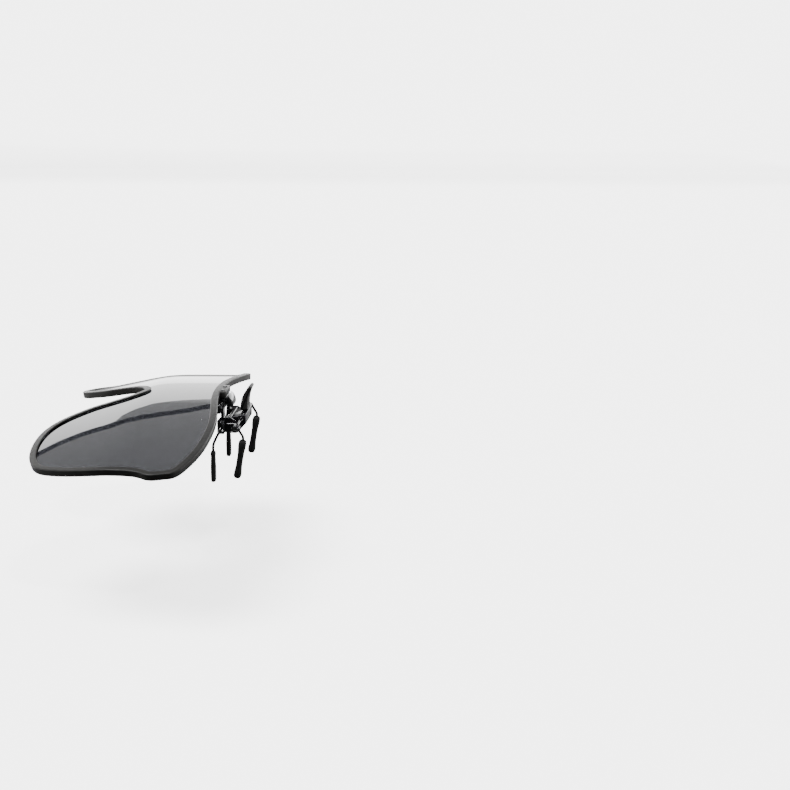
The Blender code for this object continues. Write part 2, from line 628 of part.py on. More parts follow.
def make_rear_prongs(mats):
    top = Vector((0, *REAR_PAD_TOP))
    bottom = Vector((0, *REAR_PAD_BOTTOM))
    down = (bottom - top).normalized()
    shift = Vector((PRONG_X, 0, 0))
    half = [Vector((PRONG_X - 0.7, REAR_WIRE_Y, REAR_WIRE_Z - 0.1)),
            Vector((PRONG_X, REAR_WIRE_Y + 0.5, REAR_WIRE_Z - 1.4)),
            top - down * 0.9 + shift, top + down * 0.6 + shift, bottom - down * 1.4 + shift]
    mirror = [Vector((-p.x, p.y, p.z)) for p in half[::-1]]
    run = [Vector((-PRONG_X + 2.8, REAR_WIRE_Y, REAR_WIRE_Z)), Vector((PRONG_X - 2.8, REAR_WIRE_Y, REAR_WIRE_Z))]
    add_node("rear_prong_wire", wire(rounded_path(mirror + run + half, 1.2), WIRE_R), mats["clip"])
    length = (bottom - top).length
    outline = [(-0.45, 0), (0.45, 0), (0.5, 0.12), (0.5, 0.22), (0.4, 0.32), (0.4, 0.78), (0.5, 0.88), (0.45, 0.97),
               (0.3, 1), (-0.3, 1), (-0.45, 0.97), (-0.5, 0.88), (-0.4, 0.78), (-0.4, 0.32), (-0.5, 0.22), (-0.5, 0.12)]
    tilt = math.atan2(top.y - bottom.y, top.z - bottom.z)
    place = Matrix.Translation(top * MM) @ Matrix.Rotation(-tilt, 4, "X")
    for side, word in ((1, "left"), (-1, "right")):
        low = side * PRONG_X - 0.5 * REAR_PAD_W
        mesh = side_plate([(t * REAR_PAD_END_T, -s * length) for t, s in outline], low, low + REAR_PAD_W)
        bore = upright_cylinder(PAD_BORE_R, side * PRONG_X, 0, -length + 0.9, 1, 16)
        mesh.transform(place)
        bore.transform(place)
        pad = add_node("rear_pad_" + word, mesh, mats["pad"])
        ease_edges(pad, 0.35)
        cut_from(pad, bore)


# ---- joints ----------------------------------------------------------------------------------

def hang_on_axis(name, y, z, nodes):
    """Empty on a joint's axis, with the pieces that turn on it as its children."""
    axis = bpy.data.objects.new(name, None)
    axis.location = Vector((0, y, z)) * MM
    PART.objects.link(axis)
    for node in nodes:
        moving = bpy.data.objects[node]
        moving.parent = axis
        moving.matrix_parent_inverse = Matrix.Translation(-axis.location)


clear_scene()
PART = new_collection("clip_on_flip_lenses")
CUTTERS = new_collection("cutters")
MATS = make_materials()
OUTLINE = rim_outline()
make_rim(OUTLINE, MATS)
make_lens(OUTLINE, MATS)
make_lens_hinge(MATS)
make_bracket(MATS)
make_hinge_pins(MATS)
make_springs(MATS)
make_front_prongs(MATS)
make_rear_jaw(MATS)
hang_on_axis("flip_axis", FLIP_Y, FLIP_Z, LENS_FRAME_NODES)
hang_on_axis("jaw_axis", PIVOT_Y, PIVOT_Z, REAR_JAW_NODES)
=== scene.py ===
"""Clip-on flip lenses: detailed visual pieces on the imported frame, in a pale studio."""
import math

import bmesh
import bpy
from mathutils import Matrix, Vector


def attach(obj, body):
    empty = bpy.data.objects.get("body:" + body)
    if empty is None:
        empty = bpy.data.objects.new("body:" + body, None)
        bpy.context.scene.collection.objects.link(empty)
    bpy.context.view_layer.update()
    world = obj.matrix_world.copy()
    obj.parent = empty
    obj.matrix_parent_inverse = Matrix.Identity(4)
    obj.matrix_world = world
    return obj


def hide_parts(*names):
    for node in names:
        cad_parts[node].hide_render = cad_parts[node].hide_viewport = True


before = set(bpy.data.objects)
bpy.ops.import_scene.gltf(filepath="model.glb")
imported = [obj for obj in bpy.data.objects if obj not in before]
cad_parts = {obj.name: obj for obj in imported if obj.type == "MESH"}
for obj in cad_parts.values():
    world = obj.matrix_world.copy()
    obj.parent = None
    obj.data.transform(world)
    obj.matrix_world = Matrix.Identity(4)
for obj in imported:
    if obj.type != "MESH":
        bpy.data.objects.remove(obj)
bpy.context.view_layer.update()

MM = 0.001
GAP = 0.3

# Shield surface and rim outline, as the frame has them: (x, forward distance from the top bar), mm
BAR_Y = -1.7
BAR_Z = 20.6
FACE_RADIUS = 244.0
CURL_SLOPE = 0.225
CURL_START = 24.5
CURL_BLEND = 4.0
TOP_EDGE = [(0, 1.2), (12.5, 0.6), (24.3, -1.0), (36.5, -2.3), (49.0, -1.7), (57.5, -0.3), (65.4, 2.5)]
SIDE_EDGE = [(69.5, 4.9), (70.3, 8.7), (71.1, 12.6), (68.6, 16.3), (67.7, 25.5), (64.4, 36.1), (61.0, 43.3)]
BOTTOM_EDGE = [(57.6, 47.9), (51.3, 50.8), (42.9, 52.2), (33.5, 52.2), (26.4, 50.8), (20.3, 47.9)]
NOTCH_EDGE = [(15.6, 43.6), (12.1, 39.6), (9.9, 34.8), (7.2, 29.7), (3.6, 26.5), (0, 25.2)]
OUTLINE_STEP = 2.0
REFINE = 4
RIM_WIDTH = 2.2
RIM_HEIGHT = 2.2
RIM_SHY = 0.03               # the visual rim stays this far inside the frame's
OUTER_ROUND = 0.34
INNER_ROUND = 0.2
LIP_ROUND = 0.08
GROOVE_DEPTH = 0.75
GROOVE_HEIGHT = 1.4
LENS_THICKNESS = 0.9
LENS_TUCK = 0.40
LENS_COLUMNS = 260
LENS_ROWS = 34
LAND_HALF = 5.2
LAND_BACK = -0.9
LAND_REACH = 2.0

# Flip hinge
FLIP_Y = -2.9
FLIP_Z = 16.0
BARREL_R = 1.8
BORE_R = 0.85
SHAFT_R = 0.55
TAB_HALF = 4.3
WASHER_IN = 4.6
WASHER_OUT = 4.9
WASHER_R = 1.5
KNUCKLE_IN = 5.2
KNUCKLE_OUT = 9.0
HEAD_R = 1.5
HEAD_T = 0.9
SCREW_END = 10.9
THREAD_PITCH = 0.22
THREAD_DEPTH = 0.06
NUT_R = 1.6
NUT_T = 1.1
BORE_EASE = 0.05
FLIP_SCREW_SLOT = (0.36, 0.4)
COVER_IN_R = 2.1
COVER_OUT_R = 3.9
COVER_START = math.radians(50)
COVER_TURN = math.radians(25)
COVER_END = math.radians(-8)
TAB_SCREW_X = 3.0
TAB_SCREW_Y = -2.2
TAB_SCREW_R = 0.35
TAB_SCREW_BORE = 0.55
TAB_SCREW_HEAD_R = 0.6
TAB_SCREW_HEAD_T = 0.35
TAB_SCREW_SLOT = (0.16, 0.14)
COUNTERBORE_R = 0.75
COUNTERBORE_DEPTH = 0.5

# Jaw pivot and bracket
PIVOT_Y = 2.8
PIVOT_Z = 10.2
EAR_R = 1.5
WEB_TOP = 13.0
WEB_BOTTOM = 12.2
WEB_FRONT = -2.1
WEB_BACK = 1.0
WINDOW_BACK = 0.05
SHELF_HALF = 6.4
SHELF_BACK = 3.14            # clear of the rear wire at the end of its travel
ARM_T = 0.9
CHEEK_IN = 8.2
CHEEK_OUT = 9.0
EAR_IN = 7.0
EAR_OUT = 7.8
PIN_HEAD_IN = 11.75
PIN_HEAD_T = 0.6
PIN_HEAD_R = 1.2
WIRE_R = 0.4
WIRE_BORE = 0.7
EYE_R = 1.2
WIRE_BEND = 1.2

# Prongs, pads and rear jaw
FRONT_WIRE_Y = -1.8
FRONT_WIRE_Z = 9.6
CLAMP_IN = 9.3
CLAMP_OUT = 11.45
CLAMP_SCREW_Z = 11.6
CLAMP_HEAD_R = 0.95
CLAMP_HEAD_T = 0.55
CLAMP_SCREW_SLOT = (0.24, 0.22)
PRONG_X = 17.0
FRONT_PAD_Y = -3.4
FRONT_PAD_T = 1.6
FRONT_PAD_W = 3.2
FRONT_PAD_TOP = 4.4
FRONT_PAD_BOTTOM = -5.3
PAD_BORE_R = 0.5
REAR_WIRE_Y = 4.1
REAR_WIRE_Z = 12.5
BACK_IN = 4.85
BACK_OUT = 5.55
BACK_LOW = 10.8
TONGUE_HALF = 2.6
TONGUE_TOP = 15.8
REAR_PAD_TOP = (5.85, 7.9)
REAR_PAD_BOTTOM = (3.85, -4.0)
REAR_PAD_W = 3.4
REAR_PAD_END_T = 2.4
LEVER_HALF = 3.6
SPRING_R = 1.15
SPRING_WIRE_R = 0.22
SPRING_TURNS = 3.5
SPRING_STEPS = 32
SPRING_X = 9.75
SPRING_LENGTH = 1.45
SPRING_LEG_Y = (-0.1, 0.8, 1.6)

# Thumb lever's outline and grip grooves, (y, z)
LEVER_FRONT = [(3.36, 14.32), (3.42, 16.2), (3.92, 18.3), (4.92, 20.3), (6.22, 21.86)]
LEVER_BACK = [(7.0, 21.45), (6.18, 19.6), (5.68, 17.6), (5.58, 15.6), (5.82, 14.32)]
LEVER_GROOVES = [(6.98, 21.15), (6.68, 20.45), (6.4, 19.75), (6.15, 19.05), (5.98, 18.35)]
LEVER_GROOVE_R = 0.2
POCKET_LOW = 13.0

# Sleeves: (share of the length, share of the width, share of the thickness)
FRONT_SLEEVE = ((0.0, 0.60, 0.62), (0.012, 0.76, 0.78), (0.035, 0.88, 0.9), (0.07, 0.95, 0.97),
                (0.11, 0.97, 0.99), (0.15, 0.90, 0.90), (0.2, 0.89, 0.88), (0.3, 0.92, 0.93),
                (0.5, 0.97, 1.0), (0.7, 1.0, 1.0), (0.85, 1.0, 1.0), (0.93, 0.95, 0.96),
                (0.975, 0.82, 0.82), (0.993, 0.62, 0.6), (1.0, 0.40, 0.36))
REAR_SLEEVE = ((0.0, 0.62, 0.66), (0.012, 0.80, 0.82), (0.035, 0.92, 0.93), (0.075, 0.98, 1.0),
               (0.13, 1.0, 1.0), (0.19, 0.99, 0.98), (0.25, 0.95, 0.90), (0.33, 0.90, 0.82),
               (0.45, 0.88, 0.79), (0.58, 0.88, 0.79), (0.70, 0.90, 0.82), (0.78, 0.94, 0.88),
               (0.85, 0.98, 0.97), (0.90, 0.98, 0.98), (0.945, 0.92, 0.92), (0.975, 0.80, 0.78),
               (0.992, 0.60, 0.56), (1.0, 0.36, 0.32))

# Studio, mm. A card's outline is given as (y, z) on the plane x = CARD_X.
FLOOR_Z = -37.0
FLOOR_HALF = 9000.0
CARD_X = -1100.0
CARD_FOOT = 130.0
BRIGHT_EDGE = [(-559, 587), (-538, 560), (-517, 533), (-497, 513), (-478, 495), (-459, 485), (-440, 484),
               (-414, 478), (-387, 440), (-350, 434), (-278, 440), (-228, 410), (-204, 388), (-182, 375)]
STRIP_LOW = [(-559, 587), (-538, 560), (-517, 533), (-497, 513), (-478, 495), (-459, 486), (-440, 487),
             (-404, 493), (-318, 538), (-259, 544), (-226, 517), (-203, 482), (-187, 445)]
STRIP_HIGH = [(-578, 634), (-556, 607), (-535, 580), (-515, 561), (-495, 544), (-476, 536), (-455, 539),
              (-411, 551), (-314, 599), (-261, 597), (-230, 569), (-207, 535), (-190, 499)]
BRIGHT_TONE = (1.0, 1.0, 1.0)
BRIGHT_GLOW = 3.6
STRIP_TONE = (0.012, 0.012, 0.018)
FLOOR_GLOW = 2.7
WHITE = 5.3                  # strength of the room's light along the horizon
CEILING = 0.66               # and overhead
GROUND = 0.5                 # and below
DARK_SIDE = 0.1              # share of it that is left on the +X side
CEILING_SPAN = (0.08, 0.34)  # upward part of the direction over which the light falls off
GROUND_SPAN = (-0.09, -0.03)
DARK_SIDE_SPAN = (0.1, 0.6)
KEYS = (("key_top", (0.25, -0.35, 1.0), 34, 6.0),    # name, direction it comes from, width, strength
        ("key_side", (0.75, 0.35, 0.9), 5, 1.5))
CAMERA_PLACE = (640.96, 90.53, 154.20)
CAMERA_RIGHT = (-0.06052, 0.99816, -0.00132)
CAMERA_UP = (-0.20571, -0.01118, 0.97855)
CAMERA_BACK = (0.97674, 0.05949, 0.20601)
CAMERA_LENS = 95.92
CAMERA_SENSOR = 36.0

# Materials: noise scales are per metre, relief depths in metres
CLOUD_SCALE = 260.0
WEAR_SCALE = 2200.0
WEAR_LEAST = 0.15
WEAR_MOST = 0.9
EDGE_START = 0.56            # pointiness where wear starts, and where it is full
EDGE_FULL = 0.70
LENS_DARK = (0.0105, 0.0110, 0.0128)
LENS_LIGHT = (0.0122, 0.0127, 0.0148)
LENS_ROUGH = (0.012, 0.035)
LENS_IOR = 1.5
LENS_PREVIEW = (0.05, 0.055, 0.066, 0.45)
TINT_SCALE = 30.0
HAZE_SCALE = 160.0
SPECK_SCALE = 190.0
SPECK_EDGE = (0.012, 0.03)
SPECK_TONE = (0.7, 0.7, 0.7)
SPECK_ROUGH = 0.45


# ---- small modelling kit -----------------------------------------------------------------------

def mesh_of(work):
    bmesh.ops.recalc_face_normals(work, faces=work.faces)
    mesh = bpy.data.meshes.new("mesh")
    work.to_mesh(mesh)
    work.free()
    return mesh


def loft(rings, closed):
    """Skin equal rings of points, mm. Closed joins the last to the first, otherwise the ends are capped."""
    work = bmesh.new()
    rows = [[work.verts.new(Vector(p) * MM) for p in ring] for ring in rings]
    pairs = list(zip(rows, rows[1:]))
    if closed:
        pairs.append((rows[-1], rows[0]))
    for a, b in pairs:
        for i in range(len(a)):
            j = (i + 1) % len(a)
            work.faces.new((a[i], a[j], b[j], b[i]))
    if not closed:
        work.faces.new(rows[0])
        work.faces.new(rows[-1][::-1])
    return mesh_of(work)


def turned(profile, y, z, sides=48, flip=False):
    """Solid turned about the X line through (y, z); profile is (x, radius) with radius zero at both ends."""
    sign = -1 if flip else 1
    work = bmesh.new()
    rows = []
    for x, radius in profile:
        if radius < 1e-6:
            rows.append([work.verts.new(Vector((sign * x, y, z)) * MM)])
            continue
        rows.append([work.verts.new(Vector((sign * x, y + radius * math.cos(2 * math.pi * i / sides),
                                            z + radius * math.sin(2 * math.pi * i / sides))) * MM)
                     for i in range(sides)])
    for a, b in zip(rows, rows[1:]):
        for i in range(sides):
            j = (i + 1) % sides
            corners = [a[i % len(a)], a[j % len(a)], b[j % len(b)], b[i % len(b)]]
            work.faces.new(list(dict.fromkeys(corners)))
    return mesh_of(work)


def rod(x_low, x_high, radius, ease, steps=4):
    """Profile of a rod with rounded rims, for turned."""
    angles = [0.5 * math.pi * i / steps for i in range(steps + 1)]
    arc = [(1 - math.cos(a), math.sin(a)) for a in angles]
    start = [(x_low + ease * a, radius - ease + ease * b) for a, b in arc]
    end = [(x_high - ease * a, radius - ease + ease * b) for a, b in arc[::-1]]
    return [(x_low, 0)] + start + end + [(x_high, 0)]


def upright(mesh, x, y):
    """Turn a mesh made about the X axis so that it stands along Z at (x, y)."""
    mesh.transform(Matrix.Translation(Vector((x, y, 0)) * MM) @ Matrix.Rotation(-math.pi / 2, 4, "Y"))
    return mesh


def block(x_range, y_range, z_range, ease=0.0, steps=3):
    """Box with rounded edges."""
    work = bmesh.new()
    bmesh.ops.create_cube(work, size=1.0)
    size = [high - low for low, high in (x_range, y_range, z_range)]
    middle = [0.5 * (high + low) for low, high in (x_range, y_range, z_range)]
    bmesh.ops.scale(work, verts=work.verts, vec=Vector(size) * MM)
    bmesh.ops.translate(work, verts=work.verts, vec=Vector(middle) * MM)
    if ease:
        bmesh.ops.bevel(work, geom=work.edges[:], offset=ease * MM, segments=steps, profile=0.5,
                        affect="EDGES")
    return mesh_of(work)


def side_plate(outline, x_low, x_high, ease=0.0, steps=3):
    """Plate with a (y, z) outline and rounded face edges."""
    work = bmesh.new()
    base = work.faces.new([work.verts.new(Vector((x_low, y, z)) * MM) for y, z in outline])
    grown = bmesh.ops.extrude_face_region(work, geom=[base])
    tops = [v for v in grown["geom"] if isinstance(v, bmesh.types.BMVert)]
    bmesh.ops.translate(work, verts=tops, vec=Vector((x_high - x_low, 0, 0)) * MM)
    if ease:
        rims = [e for e in work.edges if abs(e.verts[0].co.x - e.verts[1].co.x) < 1e-9]
        bmesh.ops.bevel(work, geom=rims, offset=ease * MM, segments=steps, profile=0.5,
                        affect="EDGES")
    return mesh_of(work)


def arc_points(y, z, radius, start=0.0, end=2 * math.pi, count=48):
    """Points in (y, z) along an arc, counted from +Y towards +Z."""
    turn = end - start
    whole = abs(turn - 2 * math.pi) < 1e-6
    angles = [start + turn * i / count for i in range(count if whole else count + 1)]
    return [(y + radius * math.cos(a), z + radius * math.sin(a)) for a in angles]


def cross(a, b, c):
    return (b[0] - a[0]) * (c[1] - a[1]) - (b[1] - a[1]) * (c[0] - a[0])


def hull(points):
    """Convex outline round a set of (y, z) points."""
    ordered = sorted(set(points))
    chain = []
    for sweep in (ordered, ordered[::-1]):
        part = []
        for p in sweep:
            while len(part) > 1 and cross(part[-2], part[-1], p) <= 1e-9:
                part.pop()
            part.append(p)
        chain.extend(part[:-1])
    return chain


def round_corners(points, radius, steps=5):
    """Closed 2D outline with each corner eased by a small curve."""
    result = []
    for before, here, after in zip(points[-1:] + points[:-1], points, points[1:] + points[:1]):
        here = Vector(here)
        back = Vector(before) - here
        ahead = Vector(after) - here
        reach = min(radius, 0.45 * back.length, 0.45 * ahead.length)
        start = here + back.normalized() * reach
        end = here + ahead.normalized() * reach
        for i in range(steps + 1):
            t = i / steps
            result.append(tuple(start * (1 - t) ** 2 + here * 2 * t * (1 - t) + end * t ** 2))
    return result


def rounded_path(corners, radius, steps=10):
    """Polyline with each inner corner replaced by a curve of the given size, mm."""
    path = [Vector(corners[0])]
    for before, corner, after in zip(corners, corners[1:], corners[2:]):
        here = Vector(corner)
        back = Vector(before) - here
        ahead = Vector(after) - here
        reach = min(radius, 0.45 * back.length, 0.45 * ahead.length)
        start = here + back.normalized() * reach
        end = here + ahead.normalized() * reach
        for i in range(steps + 1):
            t = i / steps
            path.append(start * (1 - t) ** 2 + here * 2 * t * (1 - t) + end * t ** 2)
    path.append(Vector(corners[-1]))
    return path


def tube(path, radius, sides=20):
    """Round wire along points, its section carried along without twist, with domed ends."""
    path = [Vector(p) for p in path]
    tangents = [(b - a).normalized() for a, b in zip(path[:1] + path[:-1], path[1:] + path[-1:])]
    tangents[0] = (path[1] - path[0]).normalized()
    side = tangents[0].orthogonal().normalized()
    stations = []
    for place, tangent in zip(path, tangents):
        side = (side - tangent * side.dot(tangent)).normalized()
        stations.append((place, side.copy(), tangent.cross(side), radius))
    head, tail = stations[0], stations[-1]
    angles = [math.pi / 2 * i / 5 for i in range(1, 5)]
    front = [(head[0] - tangents[0] * radius * 0.6 * math.sin(a), head[1], head[2], radius * math.cos(a))
             for a in angles[::-1]]
    rear = [(tail[0] + tangents[-1] * radius * 0.6 * math.sin(a), tail[1], tail[2], radius * math.cos(a))
            for a in angles]
    stations = front + stations + rear
    rings = []
    for place, across, up, size in stations:
        rings.append([place + across * size * math.cos(2 * math.pi * i / sides)
                      + up * size * math.sin(2 * math.pi * i / sides) for i in range(sides)])
    return loft(rings, False)


def combined(base, tools, name):
    """Mesh of base joined with and cut by (operation, mesh) tools, in order."""
    body = bpy.data.objects.new(name, base)
    bpy.context.scene.collection.objects.link(body)
    helpers = []
    for operation, mesh in tools:
        helper = bpy.data.objects.new(name + "_tool", mesh)
        bpy.context.scene.collection.objects.link(helper)
        helpers.append(helper)
        step = body.modifiers.new("shape", "BOOLEAN")
        step.operation = operation
        step.solver = "EXACT"
        step.object = helper
    depsgraph = bpy.context.evaluated_depsgraph_get()
    mesh = bpy.data.meshes.new_from_object(body.evaluated_get(depsgraph))
    for item in helpers + [body]:
        bpy.data.objects.remove(item, do_unlink=True)
    return mesh


def piece(name, mesh, body, mat, nodes, sharp=35):
    """One visible piece that rides on a body in place of CAD nodes."""
    mesh.name = name
    mesh.materials.clear()
    mesh.materials.append(mat)
    mesh.shade_smooth()
    mesh.set_sharp_from_angle(angle=math.radians(sharp))
    made = bpy.data.objects.new(name, mesh)
    bpy.context.scene.collection.objects.link(made)
    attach(made, body)
    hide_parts(*nodes)
    return made


# ---- materials ---------------------------------------------------------------------------------

def blank(name):
    """New material with its node tree and shader."""
    mat = bpy.data.materials.new(name)
    mat.use_nodes = True
    return mat, mat.node_tree, mat.node_tree.nodes["Principled BSDF"]


def grain(tree, scale, stretch=(1, 1, 1), detail=3.0):
    """Noise over the piece, drawn out along its axes by stretch."""
    coords = tree.nodes.new("ShaderNodeTexCoord")
    mapping = tree.nodes.new("ShaderNodeMapping")
    mapping.inputs["Scale"].default_value = stretch
    tree.links.new(coords.outputs["Object"], mapping.inputs["Vector"])
    texture = tree.nodes.new("ShaderNodeTexNoise")
    texture.inputs["Scale"].default_value = scale
    texture.inputs["Detail"].default_value = detail
    tree.links.new(mapping.outputs["Vector"], texture.inputs["Vector"])
    return texture.outputs["Fac"]


def spread(tree, value, low, high, start=0.35, stop=0.65):
    """Map a value that runs from start to stop onto low to high."""
    node = tree.nodes.new("ShaderNodeMapRange")
    node.inputs["From Min"].default_value = start
    node.inputs["From Max"].default_value = stop
    node.inputs["To Min"].default_value = low
    node.inputs["To Max"].default_value = high
    tree.links.new(value, node.inputs["Value"])
    return node.outputs["Result"]


def blended(tree, share, first, second):
    """Mix of two colours, each a tuple or a socket."""
    node = tree.nodes.new("ShaderNodeMix")
    node.data_type = "RGBA"
    tree.links.new(share, node.inputs["Factor"])
    for socket, value in ((node.inputs["A"], first), (node.inputs["B"], second)):
        if isinstance(value, tuple):
            socket.default_value = (*value, 1.0)
        else:
            tree.links.new(value, socket)
    return node.outputs["Result"]


def combined_value(tree, operation, first, second):
    node = tree.nodes.new("ShaderNodeMath")
    node.operation = operation
    tree.links.new(first, node.inputs[0])
    tree.links.new(second, node.inputs[1])
    return node.outputs["Value"]


def worn_edges(tree):
    shape = tree.nodes.new("ShaderNodeNewGeometry")
    return spread(tree, shape.outputs["Pointiness"], 0.0, 1.0, EDGE_START, EDGE_FULL)


def finish_of(name, dark, light, rough, grain_scale, grain_depth, wear, metallic=0.0, stretch=(1, 1, 1),
              gloss=0.5):
    """Colour that clouds between two tones, roughness that varies, fine relief, and lighter worn edges."""
    mat, tree, shader = blank(name)
    tone = blended(tree, spread(tree, grain(tree, CLOUD_SCALE), 0.0, 1.0), dark, light)
    roughness = spread(tree, grain(tree, 4 * CLOUD_SCALE, stretch), rough[0], rough[1])
    patchy = combined_value(tree, "MULTIPLY", worn_edges(tree),
                            spread(tree, grain(tree, WEAR_SCALE), WEAR_LEAST, WEAR_MOST))
    tree.links.new(blended(tree, patchy, tone, wear), shader.inputs["Base Color"])
    tree.links.new(roughness, shader.inputs["Roughness"])
    relief = tree.nodes.new("ShaderNodeBump")
    relief.inputs["Strength"].default_value = 1.0
    relief.inputs["Distance"].default_value = grain_depth
    tree.links.new(grain(tree, grain_scale, stretch, 4.0), relief.inputs["Height"])
    tree.links.new(relief.outputs["Normal"], shader.inputs["Normal"])
    shader.inputs["Metallic"].default_value = metallic
    shader.inputs["Specular IOR Level"].default_value = gloss
    mat.diffuse_color = (*light, 1.0)
    return mat


def tinted_lens():
    """Smoke-grey shield: dark clear plastic, faintly uneven, with a few specks of dust."""
    mat, tree, shader = blank("smoke_lens")
    cloud = spread(tree, grain(tree, TINT_SCALE, detail=1.0), 0.0, 1.0)
    tint = blended(tree, cloud, LENS_DARK, LENS_LIGHT)
    coords = tree.nodes.new("ShaderNodeTexCoord")
    specks = tree.nodes.new("ShaderNodeTexVoronoi")
    specks.inputs["Scale"].default_value = SPECK_SCALE
    tree.links.new(coords.outputs["Object"], specks.inputs["Vector"])
    dust = spread(tree, specks.outputs["Distance"], 1.0, 0.0, *SPECK_EDGE)
    tree.links.new(blended(tree, dust, tint, SPECK_TONE), shader.inputs["Base Color"])
    haze = spread(tree, grain(tree, HAZE_SCALE), *LENS_ROUGH)
    dull = spread(tree, specks.outputs["Distance"], SPECK_ROUGH, 0.0, *SPECK_EDGE)
    tree.links.new(combined_value(tree, "MAXIMUM", haze, dull), shader.inputs["Roughness"])
    shader.inputs["Transmission Weight"].default_value = 1.0
    shader.inputs["IOR"].default_value = LENS_IOR
    mat.diffuse_color = LENS_PREVIEW
    return mat


MATS = {
    "rim": finish_of("rim_satin_black", (0.0060, 0.0059, 0.0055), (0.0100, 0.0098, 0.0091), (0.36, 0.46),
                     5200.0, 0.000006, (0.034, 0.033, 0.031), gloss=0.22),
    "lens": tinted_lens(),
    "clip": finish_of("black_nickel", (0.0080, 0.0080, 0.0090), (0.0180, 0.0180, 0.0200), (0.09, 0.20),
                      2600.0, 0.000003, (0.10, 0.10, 0.11), metallic=0.7, stretch=(1, 1, 6), gloss=0.25),
    "pad": finish_of("pad_rubber", (0.0050, 0.0050, 0.0053), (0.0085, 0.0085, 0.0085), (0.62, 0.80),
                     4200.0, 0.000020, (0.030, 0.030, 0.030), gloss=0.15),
    "lever": finish_of("lever_plastic", (0.0070, 0.0070, 0.0070), (0.0120, 0.0120, 0.0117), (0.42, 0.56),
                       3600.0, 0.000010, (0.045, 0.045, 0.043), gloss=0.2),
    "cover": finish_of("cover_gloss", (0.0060, 0.0060, 0.0064), (0.0090, 0.0090, 0.0095), (0.07, 0.13),
                       900.0, 0.000004, (0.04, 0.04, 0.04), gloss=0.3),
    "screw": finish_of("dark_screw_steel", (0.060, 0.060, 0.063), (0.110, 0.110, 0.114), (0.14, 0.28),
                       3000.0, 0.000003, (0.25, 0.25, 0.25), metallic=1.0, stretch=(8, 1, 1)),
    "spring": finish_of("spring_steel", (0.090, 0.090, 0.094), (0.160, 0.160, 0.164), (0.12, 0.24),
                        3400.0, 0.000002, (0.30, 0.30, 0.30), metallic=1.0),
}


# ---- lens frame --------------------------------------------------------------------------------

def shield_z(x, depth):
    """Height of the rim's top face at (x, forward distance), mm."""
    past = depth - CURL_START
    curl = CURL_SLOPE * 0.5 * (past + math.hypot(past, CURL_BLEND))
    return BAR_Z - x * x / (2 * FACE_RADIUS) - curl


def soften(points, rounds=3):
    for _ in range(rounds):
        pairs = zip(points, points[1:] + points[:1])
        points = [p for a, b in pairs for p in (a.lerp(b, 0.25), a.lerp(b, 0.75))]
    return points


def evenly_spaced(points, count):
    loop = points + points[:1]
    lengths = [(b - a).length for a, b in zip(loop, loop[1:])]
    step = sum(lengths) / count
    spaced = []
    travelled = 0.0
    for a, b, length in zip(loop, loop[1:], lengths):
        while len(spaced) < count and len(spaced) * step <= travelled + length:
            spaced.append(a.lerp(b, (len(spaced) * step - travelled) / length))
        travelled += length
    return spaced


def rim_outline():
    """Outer edge of the rim, from the middle of the top bar round by +X, as (x, depth) points."""
    half = TOP_EDGE + SIDE_EDGE + BOTTOM_EDGE + NOTCH_EDGE
    mirrored = [(-x, depth) for x, depth in half[-2:0:-1]]
    loop = soften([Vector(p) for p in half + mirrored])
    start = min(range(len(loop)), key=lambda i: abs(loop[i].x) + abs(loop[i].y))
    loop = loop[start:] + loop[:start]
    total = sum((b - a).length for a, b in zip(loop, loop[1:] + loop[:1]))
    return evenly_spaced(loop, 2 * round(total / (2 * OUTLINE_STEP)))


def inset(loop, distance):
    """Closed outline moved towards its inside."""
    moved = []
    for before, here, after in zip(loop[-1:] + loop[:-1], loop, loop[1:] + loop[:1]):
        along = (after - before).normalized()
        moved.append(here + Vector((-along.y, along.x)) * distance)
    return moved


def refined(loop, parts=REFINE):
    """Closed outline with a smooth curve through its points."""
    count = len(loop)
    fine = []
    for i in range(count):
        p0, p1, p2, p3 = (loop[(i + k) % count] for k in (-1, 0, 1, 2))
        for k in range(parts):
            t = k / parts
            fine.append(0.5 * (2 * p1 + (p2 - p0) * t + (2 * p0 - 5 * p1 + 4 * p2 - p3) * t ** 2
                               + (3 * p1 - p0 - 3 * p2 + p3) * t ** 3))
    return fine


def rim_section():
    """Rounded bar with the lens groove on its inner side: (inward, up), mm."""
    half_w = 0.5 * RIM_WIDTH - RIM_SHY
    half_h = 0.5 * RIM_HEIGHT - RIM_SHY
    groove = 0.5 * RIM_WIDTH - GROOVE_DEPTH
    lip = 0.5 * GROOVE_HEIGHT

    def arc(cx, cy, radius, start, end, steps=5):
        angles = [math.radians(start + (end - start) * i / steps) for i in range(steps + 1)]
        return [(cx + radius * math.cos(a), cy + radius * math.sin(a)) for a in angles]

    small = LIP_ROUND
    upper = [(groove, 0.35 * lip), (groove, lip)]
    upper += arc(half_w - small, lip + small, small, -90, 0, 2)
    upper += arc(half_w - INNER_ROUND, half_h - INNER_ROUND, INNER_ROUND, 0, 90)
    upper += [(half_w * t, half_h) for t in (0.5, 0.0, -0.4)]
    upper += arc(-half_w + OUTER_ROUND, half_h - OUTER_ROUND, OUTER_ROUND, 90, 180)
    wall = [(-half_w, t) for t in (0.5, 0.2, -0.2, -0.5)]
    return upper + wall + [(a, -b) for a, b in upper[::-1]]


